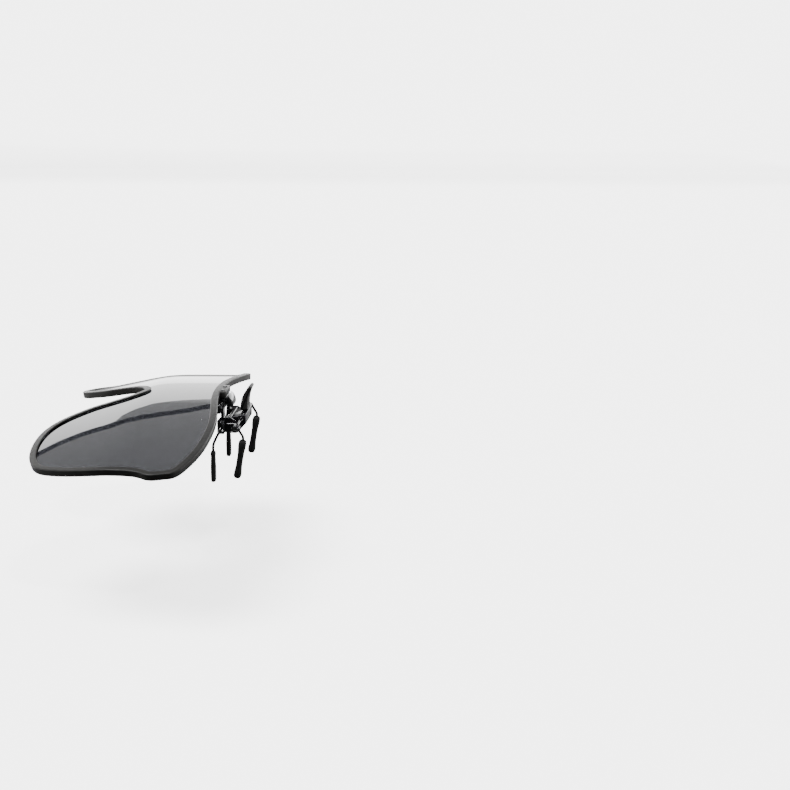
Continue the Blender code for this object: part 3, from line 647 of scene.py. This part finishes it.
def make_rim(outline):
    centre = refined(inset(outline, 0.5 * RIM_WIDTH))
    section = rim_section()
    rings = []
    count = len(centre)
    for i, place in enumerate(centre):
        ahead = (centre[(i + 1) % count] - centre[i - 1]).normalized()
        inward = Vector((-ahead.y, ahead.x))
        reach = 0.5 * RIM_WIDTH
        rise = shield_z(*place) - shield_z(*(place - inward * reach))
        slope = math.atan2(rise, reach)
        across = Vector((inward.x * math.cos(slope), -inward.y * math.cos(slope), math.sin(slope)))
        fall = shield_z(*(place + ahead * reach)) - shield_z(*(place - ahead * reach))
        run = Vector((ahead.x, -ahead.y, fall / (2 * reach))).normalized()
        up = across.cross(run).normalized()
        if up.z < 0:
            up.negate()
        middle = Vector((place.x, BAR_Y - place.y, shield_z(*place) - 0.5 * RIM_HEIGHT))
        rings.append([middle + across * a + up * b for a, b in section])
    land_z = (BAR_Z - RIM_HEIGHT + 0.1, BAR_Z - 0.1)
    tools = [("UNION", block((-LAND_HALF, LAND_HALF), (BAR_Y - LAND_REACH, LAND_BACK), land_z, 0.25))]
    for side in (1, -1):
        x = side * TAB_SCREW_X
        bore = turned(rod(BAR_Z - 4, BAR_Z - 0.2, TAB_SCREW_BORE, BORE_EASE), 0, 0)
        mouth = turned(rod(BAR_Z - COUNTERBORE_DEPTH, BAR_Z + 2, COUNTERBORE_R, BORE_EASE), 0, 0)
        tools += [("DIFFERENCE", upright(cut, x, TAB_SCREW_Y)) for cut in (bore, mouth)]
    mesh = combined(loft(rings, True), tools, "rim")
    piece("rim_full", mesh, "lens_frame", MATS["rim"], ["rim_frame"])


def along(points, t):
    """Point at share t of the length of an open outline."""
    lengths = [(b - a).length for a, b in zip(points, points[1:])]
    left = t * sum(lengths)
    for a, b, length in zip(points, points[1:], lengths):
        if left <= length:
            return a.lerp(b, left / length)
        left -= length
    return points[-1].copy()


def make_lens(outline):
    """Shield lens as a closed shell between two offsets of the shield's surface."""
    edge = refined(inset(outline, RIM_WIDTH - LENS_TUCK))
    half = len(edge) // 2
    right = max(range(half), key=lambda i: edge[i].x)
    left = len(edge) - right
    top = [edge[i % len(edge)] for i in range(left, len(edge) + right + 1)]
    bottom = [edge[i] for i in range(left, right - 1, -1)]
    work = bmesh.new()
    bmesh.ops.create_grid(work, x_segments=LENS_COLUMNS, y_segments=LENS_ROWS, size=0.5)
    tops = {}
    for vert in work.verts:
        share = round(vert.co.x + 0.5, 6)
        if share not in tops:
            tops[share] = (along(top, share), along(bottom, share))
        a, b = tops[share]
        place = a.lerp(b, vert.co.y + 0.5)
        height = shield_z(place.x, place.y) - 0.5 * RIM_HEIGHT
        vert.co = Vector((place.x, BAR_Y - place.y, height)) * MM
    bmesh.ops.remove_doubles(work, verts=work.verts, dist=0.01 * MM)
    holder = bpy.data.objects.new("lens", mesh_of(work))
    bpy.context.scene.collection.objects.link(holder)
    shell = holder.modifiers.new("thickness", "SOLIDIFY")
    shell.thickness = LENS_THICKNESS * MM
    shell.offset = 0
    depsgraph = bpy.context.evaluated_depsgraph_get()
    mesh = bpy.data.meshes.new_from_object(holder.evaluated_get(depsgraph))
    bpy.data.objects.remove(holder, do_unlink=True)
    piece("lens_shield_clear", mesh, "lens_frame", MATS["lens"], ["shield_lens"])


def slotted_head(x_range, radius, y, z, slot, flip=False):
    """Domed screw head along +X (or -X when flipped); slot is (width, depth)."""
    x_low, x_high = x_range
    slot_width, slot_depth = slot
    tall = x_high - x_low
    crown = 0.35 * tall
    dome = [(x_low, 0), (x_low, radius - 0.06), (x_low + 0.06, radius), (x_high - crown, radius)]
    dome += [(x_high - crown + crown * math.sin(a), radius * math.cos(a) ** 0.7)
             for a in (math.pi / 2 * i / 6 for i in range(1, 6))]
    dome += [(x_high, 0)]
    cut = block((x_high - slot_depth, x_high + 1), (y - 2 * radius, y + 2 * radius),
                (z - 0.5 * slot_width, z + 0.5 * slot_width), 0.02, 1)
    if flip:
        cut.transform(Matrix.Diagonal((-1, 1, 1, 1)))
        cut.flip_normals()
    return turned(dome, y, z, 48, flip), cut


def make_lens_hinge():
    plate_top = BAR_Z - RIM_HEIGHT - GAP - 0.1
    front = BAR_Y - RIM_WIDTH
    tools = [("UNION", block((-TAB_HALF + 0.02, TAB_HALF - 0.02), (front, LAND_BACK - 0.4),
                             (FLIP_Z + 0.9, plate_top), 0.16)),
             ("DIFFERENCE", turned(rod(-TAB_HALF - 1, TAB_HALF + 1, BORE_R, BORE_EASE), FLIP_Y, FLIP_Z))]
    for side in (1, -1):
        hole = turned(rod(FLIP_Z + 1.05, plate_top + 1, TAB_SCREW_BORE, BORE_EASE), 0, 0)
        tools.append(("DIFFERENCE", upright(hole, side * TAB_SCREW_X, TAB_SCREW_Y)))
    barrel = combined(turned(rod(-TAB_HALF, TAB_HALF, BARREL_R, 0.18), FLIP_Y, FLIP_Z, 64), tools, "barrel")
    piece("hinge_middle_knuckle", barrel, "lens_frame", MATS["clip"], ["lens_hinge_tab"])
    head_low = BAR_Z - COUNTERBORE_DEPTH + GAP
    for side, word in ((1, "left"), (-1, "right")):
        shank = turned(rod(FLIP_Z + 1.25, head_low + 0.1, TAB_SCREW_R, BORE_EASE), 0, 0, 32)
        head_x = (head_low, head_low + TAB_SCREW_HEAD_T)
        head, cut = slotted_head(head_x, TAB_SCREW_HEAD_R, 0, 0, TAB_SCREW_SLOT)
        mesh = combined(shank, [("UNION", head), ("DIFFERENCE", cut)], "tab_screw")
        upright(mesh, side * TAB_SCREW_X, TAB_SCREW_Y)
        piece("rim_screw_" + word, mesh, "lens_frame", MATS["screw"], ["tab_screw_" + word])
    section = arc_points(FLIP_Y, FLIP_Z, COVER_OUT_R, COVER_START, COVER_END, 36)
    section += arc_points(FLIP_Y, FLIP_Z, COVER_IN_R, COVER_END, COVER_TURN, 18)
    section += [(LAND_BACK, plate_top + 0.05), (LAND_BACK + GAP, BAR_Z - RIM_HEIGHT - 0.2)]
    cover = side_plate(section, -TAB_HALF, TAB_HALF, 0.16)
    piece("hinge_gloss_cover", cover, "lens_frame", MATS["cover"], ["hinge_cover"])


# ---- clip base ---------------------------------------------------------------------------------

def make_bracket():
    inside = CHEEK_OUT - 0.2
    wire_eye = arc_points(FRONT_WIRE_Y, FRONT_WIRE_Z, EYE_R)
    pin_eye = arc_points(PIVOT_Y, PIVOT_Z, EAR_R)
    crown = WEB_TOP + 0.15
    shoulder = [(WEB_FRONT - 0.6, crown - 0.5), (WEB_FRONT - 0.1, crown), (WEB_BACK, crown)]
    cheek = hull(wire_eye + pin_eye + shoulder)
    tools = []
    for side in (1, -1):
        low, high = sorted((side * CHEEK_IN, side * CHEEK_OUT))
        tools.append(("UNION", side_plate(cheek, low, high, 0.13)))
        low, high = sorted((side * (KNUCKLE_IN + 0.1), side * (KNUCKLE_OUT - 0.1)))
        arm_front = WEB_FRONT + 0.07
        arm = block((low, high), (arm_front, arm_front + ARM_T), (WEB_BOTTOM + 0.1, FLIP_Z), 0.12)
        tools.append(("UNION", arm))
        low, high = sorted((side * KNUCKLE_IN, side * KNUCKLE_OUT))
        tools.append(("UNION", turned(rod(low, high, BARREL_R, 0.18), FLIP_Y, FLIP_Z, 64)))
    shelf = block((-SHELF_HALF, SHELF_HALF), (WEB_BACK - 0.2, SHELF_BACK),
                  (WEB_BOTTOM + 0.1, WEB_TOP - 0.1), 0.12)
    tools.append(("UNION", shelf))
    window = KNUCKLE_IN - GAP
    reach = CHEEK_OUT + 1
    opening = block((-window, window), (WEB_FRONT - 1, WINDOW_BACK), (WEB_BOTTOM - 1, WEB_TOP + 0.5), 0.2)
    tools.append(("DIFFERENCE", opening))
    for y, z, radius in ((FLIP_Y, FLIP_Z, BORE_R), (PIVOT_Y, PIVOT_Z, BORE_R),
                         (FRONT_WIRE_Y, FRONT_WIRE_Z, WIRE_BORE), (FRONT_WIRE_Y, CLAMP_SCREW_Z, WIRE_BORE)):
        tools.append(("DIFFERENCE", turned(rod(-reach, reach, radius, BORE_EASE), y, z, 40)))
    web = block((-inside, inside), (WEB_FRONT, WEB_BACK), (WEB_BOTTOM, WEB_TOP), 0.14)
    piece("spring_clip_bracket", combined(web, tools, "bracket"), "clip_base", MATS["clip"],
          ["clip_bracket"])


def threaded(x_low, x_high, radius, pitch, depth):
    """Turned profile with thread crests between two places."""
    points = []
    x = x_low
    while x + pitch <= x_high:
        points += [(x, radius - depth), (x + 0.4 * pitch, radius), (x + 0.6 * pitch, radius)]
        x += pitch
    return points + [(x, radius - depth)]


def make_hinge_pins():
    head_in = KNUCKLE_OUT + GAP
    shaft = [(-SCREW_END, 0), (-SCREW_END, SHAFT_R - 0.15)]
    shaft += threaded(-SCREW_END + 0.1, -head_in + 0.1, SHAFT_R, THREAD_PITCH, THREAD_DEPTH)
    shaft += [(-head_in + 0.2, SHAFT_R), (KNUCKLE_OUT + 0.5, SHAFT_R), (KNUCKLE_OUT + 0.5, 0)]
    head, cut = slotted_head((head_in, head_in + HEAD_T), HEAD_R, FLIP_Y, FLIP_Z, FLIP_SCREW_SLOT)
    screw = combined(turned(shaft, FLIP_Y, FLIP_Z, 40), [("UNION", head), ("DIFFERENCE", cut)], "flip_screw")
    piece("flip_screw_slotted", screw, "clip_base", MATS["screw"], ["flip_hinge_screw"])
    corners = arc_points(FLIP_Y, FLIP_Z, NUT_R, count=6)
    nut = side_plate(round_corners(corners, 0.12, 3), -head_in - NUT_T, -head_in, 0.1, 2)
    bore = turned(rod(-head_in - 2, -head_in + 1, BORE_R, BORE_EASE), FLIP_Y, FLIP_Z)
    piece("flip_nut_hex", combined(nut, [("DIFFERENCE", bore)], "nut"), "clip_base",
          MATS["screw"], ["flip_hinge_nut"])
    for side, word in ((1, "left"), (-1, "right")):
        low, high = sorted((side * WASHER_IN, side * WASHER_OUT))
        bore = turned(rod(low - 1, high + 1, BORE_R, BORE_EASE), FLIP_Y, FLIP_Z)
        ring = turned(rod(low, high, WASHER_R, 0.07), FLIP_Y, FLIP_Z)
        piece("thrust_washer_" + word, combined(ring, [("DIFFERENCE", bore)], "washer"), "clip_base",
              MATS["screw"], ["hinge_washer_" + word])
    pin_end = PIN_HEAD_IN + PIN_HEAD_T
    pin = turned(rod(-pin_end, PIN_HEAD_IN + 0.2, SHAFT_R, 0.12), PIVOT_Y, PIVOT_Z, 40)
    head = turned(rod(PIN_HEAD_IN, pin_end, PIN_HEAD_R, 0.22), PIVOT_Y, PIVOT_Z)
    dimple = turned(rod(pin_end - 0.18, pin_end + 1, 0.45, 0.1), PIVOT_Y, PIVOT_Z)
    pin = combined(pin, [("UNION", head), ("DIFFERENCE", dimple)], "pin")
    piece("jaw_pin_headed", pin, "clip_base", MATS["screw"], ["jaw_pivot_pin"])
    bore = turned(rod(-pin_end - 1, -PIN_HEAD_IN + 1, BORE_R, BORE_EASE), PIVOT_Y, PIVOT_Z)
    cap = combined(turned(rod(-pin_end, -PIN_HEAD_IN, PIN_HEAD_R, 0.2), PIVOT_Y, PIVOT_Z),
                   [("DIFFERENCE", bore)], "cap")
    piece("jaw_pin_collar", cap, "clip_base", MATS["screw"], ["pivot_pin_cap"])


def make_springs():
    """Torsion springs round the jaw's pin: a leg forward to the clamp, the coils, and a leg down."""
    for side, word in ((1, "left"), (-1, "right")):
        path = [Vector((side * SPRING_X, y, PIVOT_Z + SPRING_R)) for y in SPRING_LEG_Y]
        count = int(SPRING_TURNS * SPRING_STEPS)
        for i in range(count + 1):
            angle = math.pi / 2 - 2 * math.pi * i / SPRING_STEPS
            x = side * (SPRING_X + SPRING_LENGTH * i / count)
            path.append(Vector((x, PIVOT_Y + SPRING_R * math.cos(angle),
                                PIVOT_Z + SPRING_R * math.sin(angle))))
        path.append(Vector((side * (SPRING_X + SPRING_LENGTH), PIVOT_Y - 1.5, PIVOT_Z - SPRING_R)))
        piece("torsion_spring_" + word, tube(path, SPRING_WIRE_R, 14), "clip_base",
              MATS["spring"], ["jaw_spring_" + word], 60)


def sleeve(stations, sides=40, power=2.6):
    """Moulded sleeve, squarish, from (centre, half width, half thickness, thickness direction) rings."""
    rings = []
    for centre, half_w, half_t, out in stations:
        ring = []
        for i in range(sides):
            angle = 2 * math.pi * i / sides
            c, s = math.cos(angle), math.sin(angle)
            x = half_w * math.copysign(abs(c) ** (2 / power), c)
            t = half_t * math.copysign(abs(s) ** (2 / power), s)
            ring.append(centre + Vector((x, 0, 0)) + out * t)
        rings.append(ring)
    return loft(rings, False)


def make_front_prongs():
    half = [(PRONG_X - 0.6, FRONT_WIRE_Y - 0.3, FRONT_WIRE_Z - 0.4),
            (PRONG_X, FRONT_PAD_Y + 0.1, FRONT_PAD_TOP + 2.2),
            (PRONG_X, FRONT_PAD_Y, FRONT_PAD_TOP + 0.6), (PRONG_X, FRONT_PAD_Y, FRONT_PAD_BOTTOM + 1.0)]
    corners = [(-x, y, z) for x, y, z in half[::-1]] + list(half)
    corners.insert(len(half), (-PRONG_X + 2.6, FRONT_WIRE_Y, FRONT_WIRE_Z))
    corners.insert(len(half) + 1, (PRONG_X - 2.6, FRONT_WIRE_Y, FRONT_WIRE_Z))
    piece("front_wire_formed", tube(rounded_path(corners, WIRE_BEND), WIRE_R), "clip_base",
          MATS["clip"], ["front_prong_wire"], 60)
    for side, word in ((1, "left"), (-1, "right")):
        x = side * PRONG_X
        tall = FRONT_PAD_TOP - FRONT_PAD_BOTTOM
        stations = []
        for s, width, thick in FRONT_SLEEVE:
            place = Vector((x, FRONT_PAD_Y, FRONT_PAD_TOP - s * tall))
            stations.append((place, 0.5 * FRONT_PAD_W * width, 0.5 * FRONT_PAD_T * thick, Vector((0, 1, 0))))
        bore = turned(rod(FRONT_PAD_BOTTOM + 0.7, FRONT_PAD_TOP + 1, PAD_BORE_R, 0.1), 0, 0, 24)
        pad = combined(sleeve(stations), [("DIFFERENCE", upright(bore, x, FRONT_PAD_Y))], "pad")
        piece("front_sleeve_" + word, pad, "clip_base", MATS["pad"], ["front_pad_" + word])
        low, high = sorted((side * CLAMP_IN, side * CLAMP_OUT))
        tools = [("DIFFERENCE", turned(rod(low - 1, high + 1, WIRE_BORE, BORE_EASE), FRONT_WIRE_Y, z, 40))
                 for z in (FRONT_WIRE_Z, CLAMP_SCREW_Z)]
        split = block((low - 1, high + 1), (FRONT_WIRE_Y - 2, FRONT_WIRE_Y),
                      (FRONT_WIRE_Z + 0.86, FRONT_WIRE_Z + 1.1))
        tools.append(("DIFFERENCE", split))
        clamp = block((low, high), (FRONT_WIRE_Y - 1.1, FRONT_WIRE_Y + 1.1),
                      (FRONT_WIRE_Z - 1.2, CLAMP_SCREW_Z + 1.05), 0.28)
        piece("wire_saddle_" + word, combined(clamp, tools, "clamp"), "clip_base",
              MATS["clip"], ["wire_clamp_" + word])
        flip = side < 0
        shank = turned(rod(CHEEK_IN + 0.1, CLAMP_OUT + GAP + 0.2, WIRE_R, 0.08), FRONT_WIRE_Y,
                       CLAMP_SCREW_Z, 32, flip)
        head_x = (CLAMP_OUT + GAP, CLAMP_OUT + GAP + CLAMP_HEAD_T)
        head, cut = slotted_head(head_x, CLAMP_HEAD_R, FRONT_WIRE_Y, CLAMP_SCREW_Z, CLAMP_SCREW_SLOT, flip)
        screw = combined(shank, [("UNION", head), ("DIFFERENCE", cut)], "clamp_screw")
        piece("saddle_screw_" + word, screw, "clip_base", MATS["screw"],
              ["clamp_screw_" + word])


# ---- rear jaw ----------------------------------------------------------------------------------

def make_rear_jaw():
    inside = EAR_OUT - 0.1
    back_top = REAR_WIRE_Z + 1.3
    rear = BACK_OUT - 0.1
    corner = [(rear, back_top - 0.1), (rear, BACK_LOW + 0.1), (BACK_IN + 0.1, back_top - 0.1)]
    ear = hull(arc_points(PIVOT_Y, PIVOT_Z, EAR_R) + arc_points(REAR_WIRE_Y, REAR_WIRE_Z, EYE_R) + corner)
    tools = []
    for side in (1, -1):
        low, high = sorted((side * EAR_IN, side * EAR_OUT))
        tools.append(("UNION", side_plate(ear, low, high, 0.12)))
    shelf = REAR_WIRE_Z + 0.7
    tongue = [(rear, shelf - 0.4), (rear, shelf + 0.7), (REAR_WIRE_Y + 0.6, shelf + 0.7),
              (REAR_WIRE_Y + 0.6, TONGUE_TOP), (REAR_WIRE_Y - 0.1, TONGUE_TOP), (REAR_WIRE_Y - 0.1, shelf),
              (BACK_IN + 0.1, shelf), (BACK_IN + 0.1, shelf - 0.4)]
    tools.append(("UNION", side_plate(tongue, -TONGUE_HALF, TONGUE_HALF, 0.08)))
    reach = EAR_OUT + 1
    for y, z, radius in ((PIVOT_Y, PIVOT_Z, BORE_R), (REAR_WIRE_Y, REAR_WIRE_Z, WIRE_BORE)):
        tools.append(("DIFFERENCE", turned(rod(-reach, reach, radius, BORE_EASE), y, z, 40)))
    plate = block((-inside, inside), (BACK_IN, BACK_OUT), (BACK_LOW, back_top), 0.12)
    piece("jaw_plate_formed", combined(plate, tools, "jaw"), "rear_jaw", MATS["clip"],
          ["rear_jaw_plate"])


def spline_2d(points, parts=8):
    """Open smooth curve through 2D points."""
    points = [Vector(p) for p in points]
    ends = [2 * points[0] - points[1]] + points + [2 * points[-1] - points[-2]]
    fine = []
    for p0, p1, p2, p3 in zip(ends, ends[1:], ends[2:], ends[3:]):
        for k in range(parts):
            t = k / parts
            fine.append(tuple(0.5 * (2 * p1 + (p2 - p0) * t + (2 * p0 - 5 * p1 + 4 * p2 - p3) * t ** 2
                                     + (3 * p1 - p0 - 3 * p2 + p3) * t ** 3)))
    return fine + [tuple(points[-1])]


def make_thumb_lever():
    """Curved horn moulded over the jaw plate's tongue, with grip grooves across its back."""
    outline = spline_2d(LEVER_FRONT) + spline_2d(LEVER_BACK)
    horn = side_plate(round_corners(outline, 0.2, 2), -LEVER_HALF, LEVER_HALF, 0.42, 5)
    tools = []
    for y, z in LEVER_GROOVES:
        groove = turned(rod(-LEVER_HALF + 0.7, LEVER_HALF - 0.7, LEVER_GROOVE_R, 0.08), y + 0.1, z, 20)
        tools.append(("DIFFERENCE", groove))
    pocket_y = (REAR_WIRE_Y - 0.1 - GAP, REAR_WIRE_Y + 0.6 + GAP)
    pocket_x = TONGUE_HALF + GAP
    pocket = block((-pocket_x, pocket_x), pocket_y, (POCKET_LOW, TONGUE_TOP + GAP), 0.08, 2)
    tools.append(("DIFFERENCE", pocket))
    piece("thumb_horn", combined(horn, tools, "lever"), "rear_jaw", MATS["lever"],
          ["thumb_lever"])


def make_rear_prongs():
    top = Vector((0, *REAR_PAD_TOP))
    bottom = Vector((0, *REAR_PAD_BOTTOM))
    down = (bottom - top).normalized()
    shift = Vector((PRONG_X, 0, 0))
    half = [Vector((PRONG_X - 0.7, REAR_WIRE_Y, REAR_WIRE_Z - 0.1)),
            Vector((PRONG_X, REAR_WIRE_Y + 0.5, REAR_WIRE_Z - 1.4)),
            top - down * 0.9 + shift, top + down * 0.6 + shift, bottom - down * 1.4 + shift]
    mirror = [Vector((-p.x, p.y, p.z)) for p in half[::-1]]
    run = [Vector((-PRONG_X + 2.8, REAR_WIRE_Y, REAR_WIRE_Z)),
           Vector((PRONG_X - 2.8, REAR_WIRE_Y, REAR_WIRE_Z))]
    piece("rear_wire_formed", tube(rounded_path(mirror + run + half, WIRE_BEND), WIRE_R), "rear_jaw",
          MATS["clip"], ["rear_prong_wire"], 60)
    length = (bottom - top).length
    tilt = math.atan2(top.y - bottom.y, top.z - bottom.z)
    place = Matrix.Translation(top * MM) @ Matrix.Rotation(-tilt, 4, "X")
    for side, word in ((1, "left"), (-1, "right")):
        stations = [(Vector((side * PRONG_X, 0, -s * length)), 0.5 * REAR_PAD_W * w, 0.5 * REAR_PAD_END_T * t,
                     Vector((0, 1, 0))) for s, w, t in REAR_SLEEVE]
        bore = upright(turned(rod(-length + 0.9, 1, PAD_BORE_R, 0.1), 0, 0, 24), side * PRONG_X, 0)
        pad = combined(sleeve(stations), [("DIFFERENCE", bore)], "pad")
        pad.transform(place)
        piece("rear_sleeve_" + word, pad, "rear_jaw", MATS["pad"], ["rear_pad_" + word])


# ---- studio ------------------------------------------------------------------------------------

def glowing(name, colour, strength):
    mat = bpy.data.materials.new(name)
    mat.use_nodes = True
    tree = mat.node_tree
    tree.nodes.clear()
    light = tree.nodes.new("ShaderNodeEmission")
    light.inputs["Color"].default_value = (*colour, 1.0)
    light.inputs["Strength"].default_value = strength
    output = tree.nodes.new("ShaderNodeOutputMaterial")
    tree.links.new(light.outputs["Emission"], output.inputs["Surface"])
    return mat


def sheet(name, points, mat):
    work = bmesh.new()
    work.faces.new([work.verts.new(Vector(p) * MM) for p in points])
    mesh = bpy.data.meshes.new(name)
    work.to_mesh(mesh)
    work.free()
    mesh.materials.append(mat)
    made = bpy.data.objects.new(name, mesh)
    bpy.context.scene.collection.objects.link(made)
    return made


def make_stage():
    """Pale floor, and two cards that the lens reflects: a bright one and a dark strip over its edge."""
    mat, tree, shader = blank("studio_floor")
    tone = blended(tree, spread(tree, grain(tree, 2.0), 0.0, 1.0), (0.84, 0.84, 0.84), (0.86, 0.86, 0.86))
    tree.links.new(tone, shader.inputs["Base Color"])
    shader.inputs["Roughness"].default_value = 0.9
    shader.inputs["Specular IOR Level"].default_value = 0.0
    shader.inputs["Emission Color"].default_value = (1.0, 1.0, 1.0, 1.0)
    shader.inputs["Emission Strength"].default_value = FLOOR_GLOW
    reach = FLOOR_HALF
    corners = [(-reach, -reach), (reach, -reach), (reach, reach), (-reach, reach)]
    floor = sheet("studio_floor", [(x, y, FLOOR_Z) for x, y in corners], mat)
    floor.visible_diffuse = False
    floor.visible_glossy = False
    bright = [(-700, CARD_FOOT), (-700, 770)] + BRIGHT_EDGE + [(-110, 350), (420, 350), (420, CARD_FOOT)]
    strip = [(-720, 795)] + STRIP_LOW + [(-150, 370), (-150, 430)] + STRIP_HIGH[::-1] + [(-720, 830)]
    for name, outline, colour, glow in (("bright_card", bright, BRIGHT_TONE, BRIGHT_GLOW),
                                        ("dark_strip", strip, STRIP_TONE, 1.0)):
        card = sheet(name, [(CARD_X, y, z) for y, z in outline], glowing(name, colour, glow))
        card.visible_diffuse = False



def make_lights():
    """Room that is white along the horizon and dim above, below and on the +X side, with two soft keys."""
    world = bpy.data.worlds.new("room")
    world.use_nodes = True
    tree = world.node_tree
    coords = tree.nodes.new("ShaderNodeTexCoord")
    parts = tree.nodes.new("ShaderNodeSeparateXYZ")
    tree.links.new(coords.outputs["Generated"], parts.inputs["Vector"])
    above = spread(tree, parts.outputs["Z"], WHITE, CEILING, *CEILING_SPAN)
    below = spread(tree, parts.outputs["Z"], GROUND, WHITE, *GROUND_SPAN)
    side = spread(tree, parts.outputs["X"], 1.0, DARK_SIDE, *DARK_SIDE_SPAN)
    room = combined_value(tree, "MULTIPLY", combined_value(tree, "MINIMUM", above, below), side)
    tree.links.new(room, tree.nodes["Background"].inputs["Strength"])
    tree.nodes["Background"].inputs["Color"].default_value = (1.0, 1.0, 1.0, 1.0)
    bpy.context.scene.world = world
    for name, toward, angle, strength in KEYS:
        data = bpy.data.lights.new(name, "SUN")
        data.energy = strength
        data.angle = math.radians(angle)
        lamp = bpy.data.objects.new(name, data)
        bpy.context.scene.collection.objects.link(lamp)
        lamp.rotation_euler = (-Vector(toward)).to_track_quat("-Z", "Y").to_euler()


def make_camera():
    data = bpy.data.cameras.new("camera")
    data.lens = CAMERA_LENS
    data.sensor_width = CAMERA_SENSOR
    data.clip_start = 0.01
    data.clip_end = 100.0
    camera = bpy.data.objects.new("camera", data)
    bpy.context.scene.collection.objects.link(camera)
    turn = Matrix((CAMERA_RIGHT, CAMERA_UP, CAMERA_BACK)).transposed().to_4x4()
    camera.matrix_world = Matrix.Translation(Vector(CAMERA_PLACE) * MM) @ turn
    bpy.context.scene.camera = camera


OUTLINE = rim_outline()
make_rim(OUTLINE)
make_lens(OUTLINE)
make_lens_hinge()
make_bracket()
make_hinge_pins()
make_springs()
make_front_prongs()
make_rear_jaw()
make_thumb_lever()
make_rear_prongs()
make_stage()
make_lights()
make_camera()
